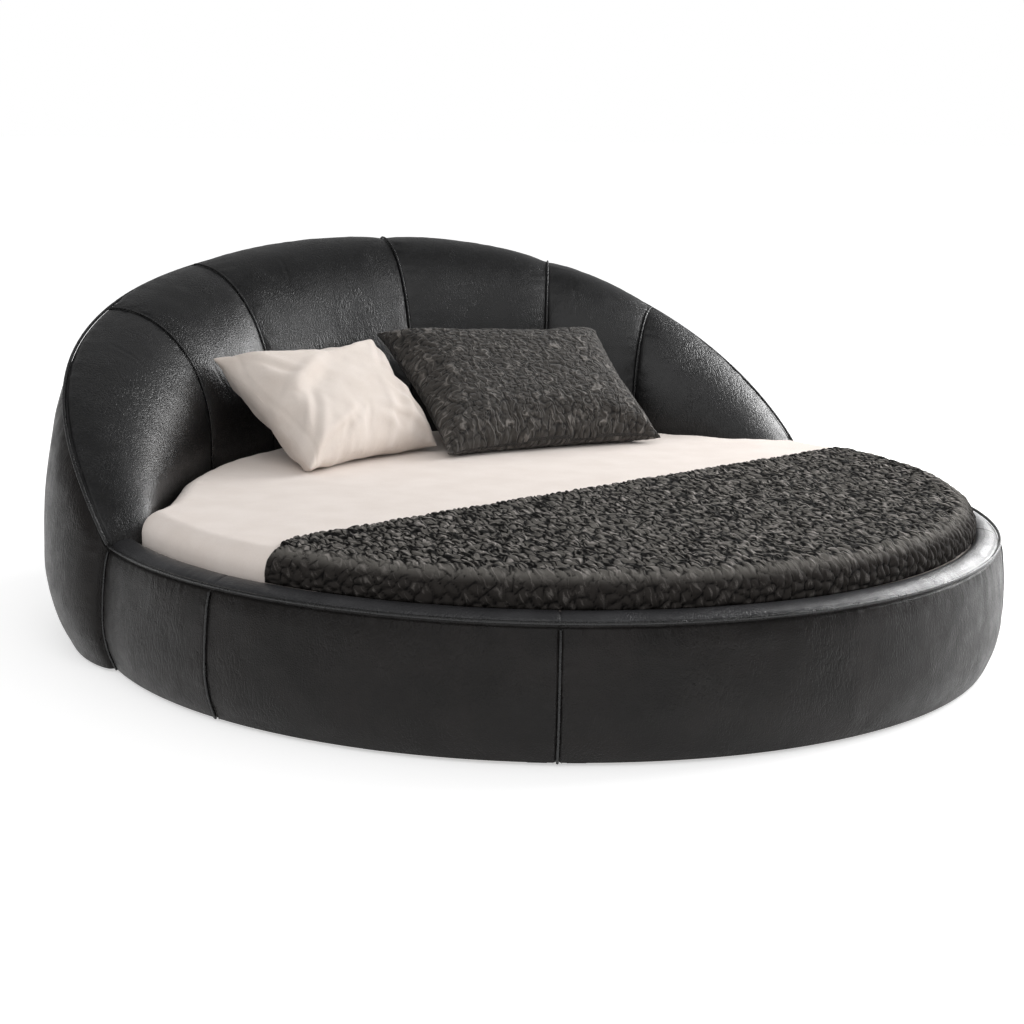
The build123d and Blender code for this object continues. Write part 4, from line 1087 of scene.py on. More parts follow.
class ROUND_BED_OT_welts(bpy.types.Operator):
    """Sews the welts, the piping and the stitches into the seams"""
    bl_idname = "round_bed.welts"
    bl_label = "Welts and stitches"

    def execute(self, context):
        form = context.scene.round_bed_form
        tree = welt_tree()
        hide = finish_of("Welt leather")
        thin = {"Radius": form.welt_radius, "Step": 0.006, "Gather depth": 0.0009, "Gather width": 0.012,
                "Material": hide}
        thick = dict(thin, Radius=form.piping_radius)
        lines = [channel_seam(bearing, WELT_STAND) for bearing in SEAMS]
        for number, line in enumerate(lines, start=1):
            piece = along_seams(f"channel_seam_{number}", [line], tree, thin, "bed_frame")
            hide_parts(f"channel_welt_{number}")
        end_turn = math.degrees(WELT_STAND / BULGE_RADIUS)
        base = (LEFT_END + end_turn,) + BASE_SEAMS + (360 + RIGHT_END - end_turn,)
        for number, bearing in enumerate(base, start=1):
            line = upright_seam(bearing, LEFT_END, WELT_STAND - 2.2)
            piece = along_seams(f"base_seam_{number}", [line], tree, thin, "bed_frame")
            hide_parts(f"base_welt_{number}")
        for number, bearing in enumerate(BACK_SEAMS, start=1):
            line = upright_seam(bearing, bearing, WELT_STAND - 2.2)
            piece = along_seams(f"back_seam_{number}", [line], tree, thin, "bed_frame")
            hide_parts(f"back_welt_{number}")
        out, over = 0.85 * PIPING_STAND, math.sqrt(1 - 0.85 ** 2) * PIPING_STAND
        piece = along_seams("arch_piping", [arch_seam(over, out)], tree, thick, "bed_frame")
        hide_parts("edge_piping")
        piece = along_seams("rim_edge_piping", [rim_seam(over, out)], tree, thick, "bed_frame")
        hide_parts("rim_piping")
        stitches = {"Pitch": form.stitch_pitch, "Length": form.stitch_pitch * 0.72, "Thread": 0.0011,
                    "Material": finish_of("Bonded thread")}
        rows = [rim_seam(2.6, -9.5, margin=0.8), rim_seam(-10.5, 2.2, margin=0.8)]
        for bearing in BASE_SEAMS:
            for beside in (-STITCH_BESIDE, STITCH_BESIDE):
                rows.append(upright_seam(bearing, LEFT_END, 0.4, beside, cut=14))
        for bearing in BACK_SEAMS:
            for beside in (-STITCH_BESIDE, STITCH_BESIDE):
                rows.append(upright_seam(bearing, bearing, 0.4, beside, cut=14))
        along_seams("seam_stitches", rows, stitch_tree(), stitches, "bed_frame")
        return {"FINISHED"}


def bedding_outline(count):
    """Points round the mattress with their outward directions, read from its solid's upper edge."""
    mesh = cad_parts["mattress_core"].data
    points = np.empty(len(mesh.vertices) * 3)
    mesh.vertices.foreach_get("co", points)
    points = points.reshape(-1, 3)
    level = (MATTRESS_TOP - SHOULDER) * MM
    ring = points[np.abs(points[:, 2] - level) < 0.6 * MM][:, :2]
    ring = ring[np.argsort(np.arctan2(ring[:, 1], ring[:, 0]))]
    keep = np.linalg.norm(ring - np.roll(ring, 1, axis=0), axis=1) > 0.5 * MM
    ring = ring[keep]
    ring = np.concatenate([ring, ring[:1]])
    distance = np.concatenate([[0], np.cumsum(np.linalg.norm(np.diff(ring, axis=0), axis=1))])
    place = np.linspace(0, distance[-1], count, endpoint=False)
    outline = np.stack([np.interp(place, distance, ring[:, axis]) for axis in (0, 1)], axis=1)
    for _ in range(6):
        outline = (np.roll(outline, 1, axis=0) + 2 * outline + np.roll(outline, -1, axis=0)) / 4
    along = np.roll(outline, -1, axis=0) - np.roll(outline, 1, axis=0)
    along = along / np.linalg.norm(along, axis=1, keepdims=True)
    return outline, np.stack([along[:, 1], -along[:, 0]], axis=1)


def over_shoulder(outline, outwards, inner, shares, grow, top, arc_steps, wall_heights):
    """Columns of points from inner places across the top, over the shoulder and down the side.

    Gives the points, and how far beyond the flat top each row of them lies."""
    radius = (SHOULDER + grow) * MM
    brink = outline - outwards * SHOULDER * MM
    flat = inner[:, None] * (1 - shares[None, :, None]) + brink[:, None] * shares[None, :, None]
    flat = np.concatenate([flat, np.full(flat.shape[:2] + (1,), top * MM)], axis=2)
    turn = np.linspace(0, math.pi / 2, arc_steps + 1)[1:]
    bent_plan = brink[:, None] + outwards[:, None] * (radius * np.sin(turn))[None, :, None]
    bent_height = np.broadcast_to(top * MM - radius * (1 - np.cos(turn)), bent_plan.shape[:2])
    bent = np.concatenate([bent_plan, bent_height[..., None]], axis=2)
    wall_plan = np.broadcast_to((brink + outwards * radius)[:, None], (len(outline), len(wall_heights), 2))
    wall = np.concatenate([wall_plan, np.broadcast_to(wall_heights * MM, wall_plan.shape[:2])[..., None]],
                          axis=2)
    beyond = np.concatenate([0 * shares, radius * turn,
                             radius * math.pi / 2 + (top * MM - radius) - wall_heights * MM])
    return np.concatenate([flat, bent, wall], axis=1), beyond


class ROUND_BED_OT_mattress(bpy.types.Operator):
    """Dresses the mattress in knitted ticking with a quilted border"""
    bl_idname = "round_bed.mattress"
    bl_label = "Mattress"

    def execute(self, context):
        outline, outwards = bedding_outline(400)
        outline = outline - outwards * 3 * MM
        shares = np.array((0.04, 0.2, 0.4, 0.6, 0.75, 0.88, 1.0))
        walls = np.linspace(MATTRESS_TOP - SHOULDER, PLATFORM + SHOULDER, 22)[1:]
        centre = np.zeros(outline.shape)
        upper, beyond = over_shoulder(outline, outwards, centre, shares, 0, MATTRESS_TOP - 1.5, 10, walls)
        lower, _ = over_shoulder(outline, outwards, centre, shares, 0, PLATFORM, 10, walls)
        lower = lower[:, :len(shares) + 10][:, ::-1]
        lower[..., 2] = 2 * PLATFORM * MM - lower[..., 2]
        rings = np.concatenate([upper, lower[:, 1:]], axis=1)
        rows = rings.shape[1]
        length = np.cumsum(np.linalg.norm(outline - np.roll(outline, 1, axis=0), axis=1))[:, None]
        height = rings[..., 2]
        on_side = (near_seam(height / MM - 225, 8) * near_seam(325 - height / MM, 8)
                   * (height > 0.225) * (height < 0.325))
        climbing = np.abs(np.sin(math.pi * (length / 0.07 + height / 0.06)))
        quilting = climbing * np.abs(np.sin(math.pi * (length / 0.07 - height / 0.06)))
        rings = lifted(rings[:, ::-1], (quilting * on_side * 1.6 * MM)[:, ::-1])[:, ::-1]
        faces = quads(len(outline), rows, wrap=True)[:, ::-1].tolist()
        faces.append([column * rows for column in range(len(outline))])
        faces.append([column * rows + rows - 1 for column in range(len(outline))][::-1])
        plan_uv = rings[..., :2] + outwards[:, None] * (height[:, :1] - height)[..., None]
        piece = new_piece("mattress_ticking", rings, faces, finish_of("Knitted ticking"), "mattress",
                          uv=plan_uv.reshape(-1, 2))
        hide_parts("mattress_core")
        return {"FINISHED"}


def throw_side(points):
    """How far plan points lie beyond the straight edge of the throw, towards the foot, in metres."""
    turn = math.radians(THROW_TURN)
    return (points[..., 0] * math.sin(turn) - (points[..., 1] - THROW_OFFSET * MM) * math.cos(turn))


class ROUND_BED_OT_fitted_sheet(bpy.types.Operator):
    """Stretches the fitted sheet over the mattress"""
    bl_idname = "round_bed.fitted_sheet"
    bl_label = "Fitted sheet"

    def execute(self, context):
        fold_depth = context.scene.round_bed_bedding.fold
        outline, outwards = bedding_outline(720)
        centre = np.zeros(outline.shape)
        shares = np.concatenate([np.linspace(0.02, 0.8, 12), np.linspace(0.82, 1.0, 22)])
        walls = np.linspace(SHEET_TOP - SHOULDER - SHEET_CLOTH, SHEET_HEM, 20)[1:]
        upper, beyond = over_shoulder(outline, outwards, centre, shares, SHEET_CLOTH, SHEET_TOP, 14, walls)
        low_shares = np.array((0.02, 0.3, 0.6, 0.8, 0.9, 1.0))
        low_walls = np.linspace(SHEET_TOP - SHOULDER - SHEET_CLOTH, SHEET_HEM, 5)[1:]
        lower, _ = over_shoulder(outline[::2], outwards[::2], centre[::2], low_shares, 1.0, SHEET_TOP - 2.3,
                                 5, low_walls)
        length = np.cumsum(np.linalg.norm(outline - np.roll(outline, 1, axis=0), axis=1))[:, None]
        inwards = np.linalg.norm(outline, axis=1)[:, None] * (1 - np.minimum(shares, 1))[None, :]
        inwards = np.concatenate([inwards, np.zeros((len(outline), len(beyond) - len(shares)))], axis=1)
        # Folds start on the top, lean along the edge and run down the side
        lean = length + 0.35 * beyond[None, :] + 0.5 * inwards
        grown = np.clip((beyond[None, :] - inwards + 0.12) / 0.16, 0, 1) ** 1.5
        folds = lumps(lean / 0.042, beyond[None, :] / 0.3 + 0 * length, 401) * 0.75
        folds = folds + 0.25 * lumps(lean / 0.018, beyond[None, :] / 0.12 + 0 * length, 402)
        top_waves = 0.5 * rough_lumps(upper[..., 0] / 0.16, upper[..., 1] / 0.16, 403)
        covered = near_seam(np.maximum(-throw_side(upper) - 0.004, 0) / MM, 30)
        down = upper[..., 2] < THROW_HEM * MM
        covered = np.where(down, 1.0, covered)
        relief = (fold_depth * folds * grown + 1.2 * MM * top_waves * (1 - grown)) * covered
        hem_gather = (np.clip((beyond[None, :] - 0.16) / 0.04, 0, 1) * 0.6 * MM
                      * lumps(length / 0.009, 0 * relief, 404))
        upper = lifted(upper[:, ::-1], (np.minimum(relief, 3.2 * MM) + hem_gather)[:, ::-1])[:, ::-1]
        upper[..., 2] = np.where(covered < 0.02, np.minimum(upper[..., 2], SHEET_TOP * MM), upper[..., 2])
        faces = [face[::-1] for face in cloth_layers(upper, lower, 2, True)]
        points = np.concatenate([upper.reshape(-1, 3), lower.reshape(-1, 3)])
        uv = upper[..., :2] + outwards[:, None] * (beyond * 0.6)[None, :, None]
        uv = np.concatenate([uv.reshape(-1, 2), lower[..., :2].reshape(-1, 2)])
        piece = new_piece("fitted_sheet_cloth", points, faces, finish_of("Cotton sheet"), "mattress",
                          uv=uv, sharp=70)
        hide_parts("fitted_sheet")
        return {"FINISHED"}


class ROUND_BED_OT_throw(bpy.types.Operator):
    """Lays the blistered throw over the foot of the bed"""
    bl_idname = "round_bed.throw"
    bl_label = "Throw"

    def execute(self, context):
        outline, outwards = bedding_outline(1300)
        left_trim = np.clip((-outline[:, 0] - 0.75) / 0.12, 0, 1) * 0.055
        covered = throw_side(outline) > left_trim
        start = int(np.argmax(covered & ~np.roll(covered, 1)))
        count = int(covered.sum())
        count -= (count - 1) % 4
        picked = (start + np.arange(count)) % len(outline)
        outline, outwards = outline[picked], outwards[picked]
        brink = outline - outwards * SHOULDER * MM
        inner = self.edge(brink, count)
        rows = np.linspace(0, 1, 118)
        base = SHEET_TOP + BEDDING_GAP
        grow = 3.9
        walls = np.linspace(base - SHOULDER - grow + 2, THROW_HEM, 5)[1:]
        lower, beyond = over_shoulder(outline, outwards, inner, rows, grow, base, 19, walls)
        columns, count_rows = lower.shape[:2]
        if (count_rows - 1) % 4:
            raise RuntimeError(f"the throw has {count_rows} rows, not one more than a multiple of four")
        uv = lower[..., :2]
        plan = brink[:, None] + outwards[:, None] * beyond[None, :, None]
        uv = np.where(beyond[None, :, None] > 0, plan, uv)
        along_row = np.linalg.norm(np.diff(lower, axis=1, prepend=lower[:, :1]), axis=2)
        to_line = np.cumsum(along_row, axis=1) / MM
        to_hem = (beyond[-1] - beyond)[None, :] / MM + 0 * to_line
        from_end = np.minimum(np.arange(columns), columns - 1 - np.arange(columns))
        to_end = from_end[:, None] * 3.0 + to_line * 0
        border = np.minimum(np.minimum(np.where(beyond[None, :] > 0, 1e3, to_line), to_hem), to_end)
        rounding = np.sqrt(1 - (1 - np.clip(border / 9, 0, 1)) ** 2)
        hanging = np.clip(beyond / 0.05, 0, 1)[None, :] + 0 * to_line
        x, y = uv[..., 0] / MM, uv[..., 1] / MM
        wander_x = x + 9 * lumps(x / 30, y / 30, 501)
        wander_y = y + 9 * lumps(x / 30 + 40, y / 30, 502)
        ridges = cells(wander_x / THROW_RIDGE[0], wander_y / THROW_RIDGE[1], 503)
        ridges = np.clip(ridges / 0.45, 0, 1) ** 0.7
        pebbles = cells(wander_x / THROW_PEBBLE, wander_y / THROW_PEBBLE, 504)
        pebbles = 1 - (1 - np.clip(pebbles / 0.75, 0, 1)) ** 2
        relief = (1 - hanging) * ridges + hanging * pebbles
        height = (4.0 + 6.0 * relief + 1.4 * lumps(x / 60, y / 60, 505)) * rounding
        upper = lifted(lower[:, ::-1], height[:, ::-1] * MM)[:, ::-1]
        upper[..., 2] = np.maximum(upper[..., 2], THROW_HEM * MM)
        coarse = lower[::4, ::4]
        faces = [face[::-1] for face in cloth_layers(upper, coarse, 4, False)]
        points = np.concatenate([upper.reshape(-1, 3), coarse.reshape(-1, 3)])
        uv = np.concatenate([uv.reshape(-1, 2), uv[::4, ::4].reshape(-1, 2)])
        values = {
            "relief": np.concatenate([relief.ravel(), relief[::4, ::4].ravel()]),
            "hanging": np.concatenate([hanging.ravel(), hanging[::4, ::4].ravel()]),
        }
        piece = new_piece("throw_cloth", points, faces, finish_of("Blistered throw cloth"), "throw_body",
                          uv=uv, values=values, sharp=80)
        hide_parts("throw")
        return {"FINISHED"}

    def edge(self, brink, count):
        """Points along the throw's straight edge, its left corner rounded off, one for each column."""
        turn = math.radians(THROW_TURN)
        along = np.array((math.cos(turn), math.sin(turn)))
        start = np.array((0.0, THROW_OFFSET * MM))
        bend = start - along * 0.79
        corner = start - along * 0.91
        share = np.linspace(0, 1, 60)[:, None]
        left, right = sorted((brink[0], brink[-1]), key=lambda point: point[0])
        rounded = left * (1 - share) ** 2 + corner * 2 * share * (1 - share) + bend * share ** 2
        line = np.concatenate([rounded, bend + (right - bend) * np.linspace(0, 1, 300)[1:, None]])
        distance = np.concatenate([[0], np.cumsum(np.linalg.norm(np.diff(line, axis=0), axis=1))])
        place = distance[-1] * (0.5 - 0.5 * np.cos(math.pi * np.linspace(0, 1, count)))
        points = np.stack([np.interp(place, distance, line[:, axis]) for axis in (0, 1)], axis=1)
        return points if brink[0][0] < brink[-1][0] else points[::-1]


PILLOWS = {
    "light_pillow": dict(length=590, height=460, thick=150, bearing=26.9, upper=22.0, lower=26.5,
                         skew=-76, bottom=0.89, sag=0.13),
    "dark_pillow": dict(length=672, height=508, thick=150, bearing=-15.3, upper=-11.0, lower=3.0,
                        skew=42, bottom=1.04, sag=0.055),
}
PILLOW_LEAN = 57.5


def front_at(bearing, height):
    """Radius of the channels' faces at a height, ahead of the crown."""
    crest = crest_point(bearing)
    bend = bend_height(crest)
    share = np.maximum(height - bend, 0) / (crest[..., 1] - bend)
    front = crest[..., 0] - (crest[..., 0] - face_radius(bearing)) * np.sqrt(1 - share ** 2)
    return front - CROWN - 4


def pillow_place(spec, local):
    """Takes points of a flat pillow to where it leans against the channels, in millimetres."""
    lean = math.radians(PILLOW_LEAN)
    directions = [np.array((math.cos(math.radians(turn)), math.sin(math.radians(turn)), 0)) for turn in
                  (spec["upper"], spec["lower"], (spec["upper"] + spec["lower"]) / 2)]
    level = SHEET_TOP + spec["height"] * math.cos(lean)
    angle = math.radians(90 + spec["bearing"])
    middle = front_at(np.array([spec["bearing"]]), level)[0] * np.array((math.cos(angle), math.sin(angle), 0))
    excess = 0
    for share in (0.0, 0.06, 0.2, 0.5, 0.8, 0.94, 1.0):
        place = middle + directions[0] * (share - 0.5) * spec["length"]
        bearing = np.array([math.degrees(math.atan2(-place[0], place[1]))])
        excess = max(excess, math.hypot(place[0], place[1]) - front_at(bearing, level)[0])
    forwards_top = np.array((directions[0][1], -directions[0][0], 0))
    top_middle = middle + forwards_top * excess + (0, 0, level)
    forwards = np.array((directions[2][1], -directions[2][0], 0))
    bottom_middle = top_middle + forwards * spec["height"] * math.sin(lean) + directions[2] * spec["skew"]
    bottom_middle[2] = SHEET_TOP
    share = local[:, :1] / spec["length"]
    top = top_middle + directions[0] * share * spec["length"]
    bottom = bottom_middle + directions[1] * share * spec["length"] * spec["bottom"]
    up = (top - bottom) / np.linalg.norm(top - bottom, axis=1, keepdims=True)
    face = np.cross(directions[2], up)
    face = face / np.linalg.norm(face, axis=1, keepdims=True)
    part = local[:, 1:2] / spec["height"] + 0.5
    return bottom * (1 - part) + top * part + face * local[:, 2:]


def flat_pillow(spec, step):
    """A sewn, half-filled pillow lying flat: two panels that meet in a seam all round."""
    across, up = int(spec["length"] / step), int(spec["height"] / step)
    a, b = np.meshgrid(np.linspace(-1, 1, across + 1), np.linspace(-1, 1, up + 1), indexing="ij")
    ear = 1 + 0.03 * np.abs(a * b) ** 10
    x = spec["length"] / 2 * a * (1 - 0.045 * (1 - b ** 2) * np.abs(a)) * ear
    sag = np.where(b > 0, spec["sag"], 0.055)
    y = spec["height"] / 2 * b * (1 - sag * (1 - a ** 2) * np.abs(b)) * ear
    body = (1 - np.abs(a) ** 3.4) * (1 - np.abs(b) ** 3.4)
    z = spec["thick"] / 2 * np.maximum(body, 0) ** 0.54
    front = np.stack([x, y, z], axis=-1).reshape(-1, 3)
    inside = (np.abs(a) < 0.9999) & (np.abs(b) < 0.9999)
    index = np.arange(a.size).reshape(a.shape)
    back_index = np.where(inside, np.cumsum(inside.ravel()).reshape(a.shape) - 1 + a.size, index)
    back = np.stack([x, y, -z], axis=-1)[inside]

    def faces_of(index):
        corners = (index[:-1, :-1], index[1:, :-1], index[1:, 1:], index[:-1, 1:])
        return np.stack(corners, axis=-1).reshape(-1, 4)

    faces = np.concatenate([faces_of(index), faces_of(back_index)[:, ::-1]])
    return np.concatenate([front, back]), faces.tolist()


def plumped(name, points, faces, cap):
    """The pillow after its filling has swelled it, by cloth simulation, with each point's move capped."""
    mesh = bpy.data.meshes.new(name)
    mesh.from_pydata((points * MM).tolist(), [], faces)
    cover = bpy.data.objects.new(name, mesh)
    bpy.context.scene.collection.objects.link(cover)
    modifier = cover.modifiers.new("Cloth", "CLOTH")
    modifier.settings.quality = 5
    modifier.settings.mass = 0.25
    modifier.settings.tension_stiffness = 12
    modifier.settings.compression_stiffness = 12
    modifier.settings.shear_stiffness = 6
    modifier.settings.bending_stiffness = 0.15
    modifier.settings.use_pressure = True
    modifier.settings.uniform_pressure_force = 4
    modifier.settings.effector_weights.gravity = 0
    modifier.settings.shrink_min = -0.035
    modifier.collision_settings.use_collision = False
    modifier.point_cache.frame_start = 1
    modifier.point_cache.frame_end = 20
    for step in range(1, 21):
        bpy.context.scene.frame_set(step)
    evaluated = cover.evaluated_get(bpy.context.evaluated_depsgraph_get()).to_mesh()
    moved = np.empty(len(evaluated.vertices) * 3)
    evaluated.vertices.foreach_get("co", moved)
    moved = moved.reshape(-1, 3) - points * MM
    far = np.linalg.norm(moved, axis=1, keepdims=True)
    points = points + moved / np.maximum(far, 1e-9) * np.minimum(far, cap * MM) / MM
    cover.to_mesh_clear()
    cover.modifiers.clear()
    bpy.context.scene.frame_set(1)
    mesh.vertices.foreach_set("co", (points * MM).ravel())
    mesh.update()
    rounder = cover.modifiers.new("Round", "SUBSURF")
    rounder.levels = rounder.render_levels = 1
    result = bpy.data.meshes.new_from_object(cover.evaluated_get(bpy.context.evaluated_depsgraph_get()))
    bpy.data.objects.remove(cover)
    count = len(result.vertices)
    points, normals = np.empty(count * 3), np.empty(count * 3)
    result.vertices.foreach_get("co", points)
    result.vertices.foreach_get("normal", normals)
    faces = [list(polygon.vertices) for polygon in result.polygons]
    return points.reshape(-1, 3) / MM, normals.reshape(-1, 3), faces


def lay_pillow(name, relief_of, material, values_of=None):
    """Makes one pillow, from its flat cover to its place on the sheet."""
    spec = PILLOWS[name]
    points, faces = flat_pillow(spec, PILLOW_STEP)
    points, normals, faces = plumped(name, points, faces, PILLOW_SWELL)
    relief = relief_of(spec, points)
    flat_uv = points[:, :2] * MM + np.where(points[:, 2:] < 0, 3.0, 0.0)
    placed_points = pillow_place(spec, points + normals * relief[:, None])
    low = SHEET_TOP + BEDDING_GAP
    placed_points[:, 2] += low - placed_points[:, 2].min() - PILLOW_SINK
    # The underside that would sink into the sheet rolls out flat on it
    height = placed_points[:, 2]
    pressed = low + np.maximum(height - low + PILLOW_ROLL, 0) ** 2 / (4 * PILLOW_ROLL)
    placed_points[:, 2] = np.where(height < low + PILLOW_ROLL, pressed, height)
    values = values_of(spec, points) if values_of else None
    piece = new_piece(f"{name}_cloth", placed_points * MM, faces, finish_of(material), f"{name}_body",
                      uv=flat_uv, values=values, sharp=75)
    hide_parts(name)


def seam_distance(spec, points):
    return np.minimum(spec["length"] / 2 - np.abs(points[:, 0]), spec["height"] / 2 - np.abs(points[:, 1]))


class ROUND_BED_OT_light_pillow(bpy.types.Operator):
    """Plumps the cream pillow and leans it on the headboard"""
    bl_idname = "round_bed.light_pillow"
    bl_label = "Cream pillow"

    def execute(self, context):
        def relief(spec, points):
            x, y = points[:, 0], points[:, 1]
            side = np.where(points[:, 2] > 0, 0, 500)
            edge = np.maximum(seam_distance(spec, points), 0)
            along = np.where(spec["length"] / 2 - np.abs(x) < spec["height"] / 2 - np.abs(y), y, x)
            height = 2.6 * rough_lumps((x + side) / 70, y / 70, 601)
            height += 2.0 * np.exp(-(edge / 45) ** 1.3) * lumps((along + side) / 21, edge / 90, 602)
            for corner_x, corner_y, seed in ((-1, -1, 603), (-1, 1, 604), (1, -1, 605), (1, 1, 606)):
                start = (corner_x * (spec["length"] / 2 - 20), corner_y * (spec["height"] / 2 - 20))
                for spread in (-0.25, 0.2):
                    end = (start[0] * (0.35 + spread), start[1] * (0.35 - spread))
                    height += crease(x, y, start, end, 5, 13, seed)
            front = points[:, 2] > 0
            height += front * fold(x, y, (-35, 95), (-285, -40), 11, 24, 48)
            height += front * fold(x, y, (120, -60), (60, -225), 6, 18, 40)
            height += front * fold(x, y, (215, 0), (150, -215), 5, 16, 36)
            # The seam of the gusset runs down the left side of the front
            height -= front * 2.4 * np.exp(-((x + spec["length"] / 2 - 40 + 6 * np.sin(y / 60)) / 3.4) ** 2)
            return height * (1 - np.exp(-(edge / 9) ** 2))

        lay_pillow("light_pillow", relief, "Linen pillow cloth")
        return {"FINISHED"}


class ROUND_BED_OT_dark_pillow(bpy.types.Operator):
    """Plumps the dark pillow and leans it on the headboard"""
    bl_idname = "round_bed.dark_pillow"
    bl_label = "Dark pillow"

    def execute(self, context):
        def pattern(spec, points):
            x, y = points[:, 0] + np.where(points[:, 2] > 0, 0, 700), points[:, 1]
            wander_x = x + 14 * lumps(x / 45, y / 45, 701)
            wander_y = y + 14 * lumps(x / 45 + 40, y / 45, 702)
            ridges = cells(wander_x / PILLOW_RIDGE[0], wander_y / PILLOW_RIDGE[1], 703)
            return np.clip(ridges / 0.4, 0, 1) ** 0.7

        def relief(spec, points):
            x, y = points[:, 0], points[:, 1]
            side = np.where(points[:, 2] > 0, 0, 500)
            edge = np.maximum(seam_distance(spec, points), 0)
            height = 2.2 * rough_lumps((x + side) / 80, y / 80, 704) + 2.6 * pattern(spec, points)
            return height * (1 - np.exp(-(edge / 8) ** 2))

        def values(spec, points):
            return {"relief": pattern(spec, points), "hanging": np.full(len(points), 0.35)}

        lay_pillow("dark_pillow", relief, "Blistered pillow cloth", values)
        return {"FINISHED"}


class ROUND_BED_OT_frame_finishes(bpy.types.Operator):
    """Gives the timber, steel, felt and plastic of the frame their finishes"""
    bl_idname = "round_bed.frame_finishes"
    bl_label = "Frame finishes"

    def execute(self, context):
        finishes = {
            "Birch plywood": ["headboard_board", "head_rail"] + [f"base_rail_{n}" for n in range(1, 5)]
            + [f"headboard_rib_{n}" for n in range(1, 9)],
            "Planed pine": ["slats", "slat_ledgers", "middle_beam"],
            "Zinc plate": ["splice_plates", "splice_bolts", "beam_hangers"],
            "Black powder coat": ["beam_legs"],
            "Pressed felt": ["felt_glides"],
            "Moulded nylon": ["leg_glides"],
        }
        for name, nodes in finishes.items():
            for node in nodes:
                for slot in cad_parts[node].material_slots:
                    slot.material = finish_of(name)
        return {"FINISHED"}


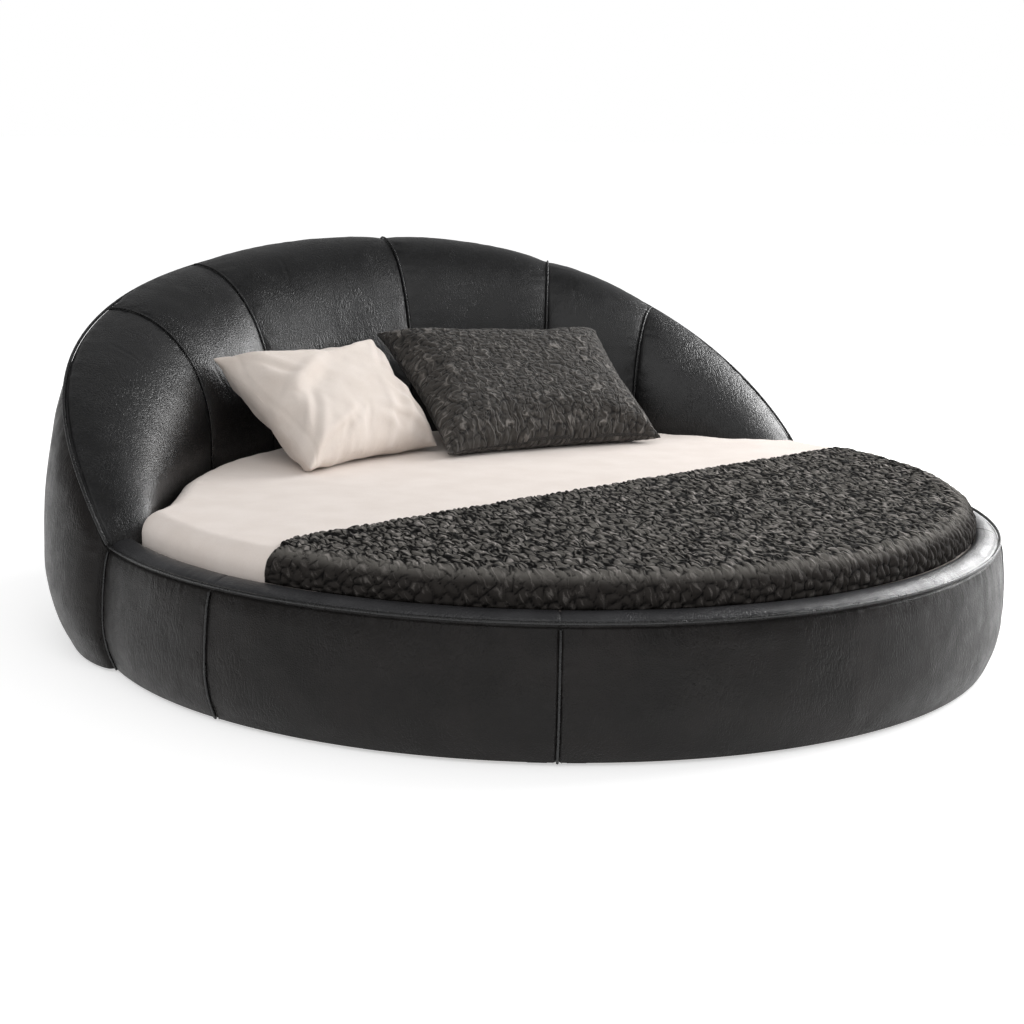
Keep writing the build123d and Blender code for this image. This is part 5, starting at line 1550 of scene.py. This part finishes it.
class ROUND_BED_OT_studio(bpy.types.Operator):
    """Sets up the pale floor, the soft light and the camera"""
    bl_idname = "round_bed.studio"
    bl_label = "Studio"

    def execute(self, context):
        studio = context.scene.round_bed_studio
        scene = context.scene
        scene.view_settings.view_transform = "Standard"
        self.floor()
        self.world(scene, studio)
        self.lamps(scene, studio)
        self.camera(scene)
        return {"FINISHED"}

    def floor(self):
        material, tree, surface = new_material("Pale studio floor",
                                               {"Roughness": 0.9, "Specular IOR Level": 0.0})
        surface.inputs["Base Color"].default_value = linear("#E4E4E4")
        surface.inputs["Emission Color"].default_value = linear("#FFFFFF")
        rays = add(tree, "ShaderNodeLightPath")
        seen = add(tree, "ShaderNodeMath", {"operation": "MAXIMUM"},
                   {0: rays.outputs["Is Camera Ray"], 1: rays.outputs["Is Glossy Ray"]})
        strength = add(tree, "ShaderNodeMath", {"operation": "MULTIPLY", 1: 0.5}, {0: seen.outputs[0]})
        tree.links.new(strength.outputs[0], surface.inputs["Emission Strength"])
        mesh = bpy.data.meshes.new("studio_floor")
        corners = [(x * FLOOR_HALF, y * FLOOR_HALF, 0) for x, y in ((-1, -1), (1, -1), (1, 1), (-1, 1))]
        mesh.from_pydata(corners, [], [(0, 1, 2, 3)])
        mesh.materials.append(material)
        floor = bpy.data.objects.new("studio_floor", mesh)
        bpy.context.scene.collection.objects.link(floor)

    def world(self, scene, studio):
        world = bpy.data.worlds.new("Studio")
        world.use_nodes = True
        scene.world = world
        tree = world.node_tree
        tree.nodes.clear()
        rays = add(tree, "ShaderNodeLightPath")
        seen = add(tree, "ShaderNodeMath", {"operation": "MAXIMUM"},
                   {0: rays.outputs["Is Camera Ray"], 1: rays.outputs["Is Glossy Ray"]})
        seen = add(tree, "ShaderNodeMath", {"operation": "MAXIMUM"},
                   {0: seen.outputs[0], 1: rays.outputs["Is Transmission Ray"]})
        ambient = add(tree, "ShaderNodeBackground", {"Color": linear("#FFFFFF"), "Strength": studio.ambient})
        # Shine sees a studio whose white backdrop lies behind the bed and whose front is dark
        aim = add(tree, "ShaderNodeVectorMath", {"operation": "DOT_PRODUCT", 1: (0.45, 0.87, -0.2)},
                  {0: add(tree, "ShaderNodeTexCoord").outputs["Generated"]}).outputs["Value"]
        shine = ranged(tree, aim, -0.2, 0.95, 0.12, 0.4)
        strength = add(tree, "ShaderNodeMath", {"operation": "MAXIMUM"},
                       {0: shine, 1: rays.outputs["Is Camera Ray"]})
        backdrop = add(tree, "ShaderNodeBackground", {"Color": linear("#FFFFFF")},
                       {"Strength": strength.outputs[0]})
        both = add(tree, "ShaderNodeMixShader",
                   links={0: seen.outputs[0], 1: ambient.outputs[0], 2: backdrop.outputs[0]})
        add(tree, "ShaderNodeOutputWorld", links={"Surface": both.outputs[0]})

    def lamps(self, scene, studio):
        lamp = bpy.data.lights.new("Wide soft lamp", "SUN")
        lamp.energy = studio.sun
        lamp.angle = math.radians(70)
        holder = bpy.data.objects.new("Wide soft lamp", lamp)
        holder.rotation_euler = Vector((-0.45, -0.65, 0.75)).to_track_quat("Z", "Y").to_euler()
        scene.collection.objects.link(holder)
        boxes = (
            ("Soft box", studio.soft_box, (4.2, 1.7), (4.6, 0.4, 2.1), (4.6, 0.2, 1.5)),
            ("High soft box", studio.high_box, (1.5, 1.5), (2.4, -0.5, 3.2), (2.7, -1.5, 2.6)),
        )
        for name, power, size, place, axis in boxes:
            box = bpy.data.lights.new(name, "AREA")
            box.energy = power
            box.shape = "RECTANGLE"
            box.size, box.size_y = size
            holder = bpy.data.objects.new(name, box)
            holder.location = place
            holder.rotation_euler = Vector(axis).to_track_quat("Z", "Y").to_euler()
            scene.collection.objects.link(holder)

    def camera(self, scene):
        lens = bpy.data.cameras.new("Studio camera")
        lens.lens = LENS
        lens.sensor_width = 36
        holder = bpy.data.objects.new("Studio camera", lens)
        scene.collection.objects.link(holder)
        right = Vector(CAMERA_RIGHT).normalized()
        back = Vector(CAMERA_BACK).normalized()
        up = back.cross(right).normalized()
        local_x = right * math.cos(CAMERA_ROLL) + up * math.sin(CAMERA_ROLL)
        local_y = up * math.cos(CAMERA_ROLL) - right * math.sin(CAMERA_ROLL)
        turn = Matrix((local_x, local_y, back)).transposed()
        holder.matrix_world = Matrix.Translation(Vector(CAMERA_PLACE)) @ turn.to_4x4()
        scene.camera = holder


OPERATORS = (
    ROUND_BED_OT_finishes,
    ROUND_BED_OT_studio,
    ROUND_BED_OT_frame_finishes,
    ROUND_BED_OT_channel_pads,
    ROUND_BED_OT_back_covers,
    ROUND_BED_OT_base_panels,
    ROUND_BED_OT_welts,
    ROUND_BED_OT_mattress,
    ROUND_BED_OT_fitted_sheet,
    ROUND_BED_OT_throw,
    ROUND_BED_OT_light_pillow,
    ROUND_BED_OT_dark_pillow,
)


class ROUND_BED_PT_panel(bpy.types.Panel):
    """Sizes, colours and pieces of the round bed"""
    bl_idname = "ROUND_BED_PT_panel"
    bl_label = "Round Bed"
    bl_space_type = "VIEW_3D"
    bl_region_type = "UI"
    bl_category = "Round Bed"

    def draw(self, context):
        for name, group in SETTINGS:
            box = self.layout.box()
            for key in group.__annotations__:
                box.prop(getattr(context.scene, name), key)
        for operator in OPERATORS:
            self.layout.operator(operator.bl_idname)


def register():
    for name, group in SETTINGS:
        bpy.utils.register_class(group)
        setattr(bpy.types.Scene, name, bpy.props.PointerProperty(type=group))
    for operator in OPERATORS:
        bpy.utils.register_class(operator)
    bpy.utils.register_class(ROUND_BED_PT_panel)


def unregister():
    bpy.utils.unregister_class(ROUND_BED_PT_panel)
    for operator in reversed(OPERATORS):
        bpy.utils.unregister_class(operator)
    for name, group in reversed(SETTINGS):
        delattr(bpy.types.Scene, name)
        bpy.utils.unregister_class(group)


def main():
    register()
    for operator in OPERATORS:
        step = operator.bl_idname.split(".")[1]
        getattr(bpy.ops.round_bed, step)()


if __name__ == "__main__":
    main()
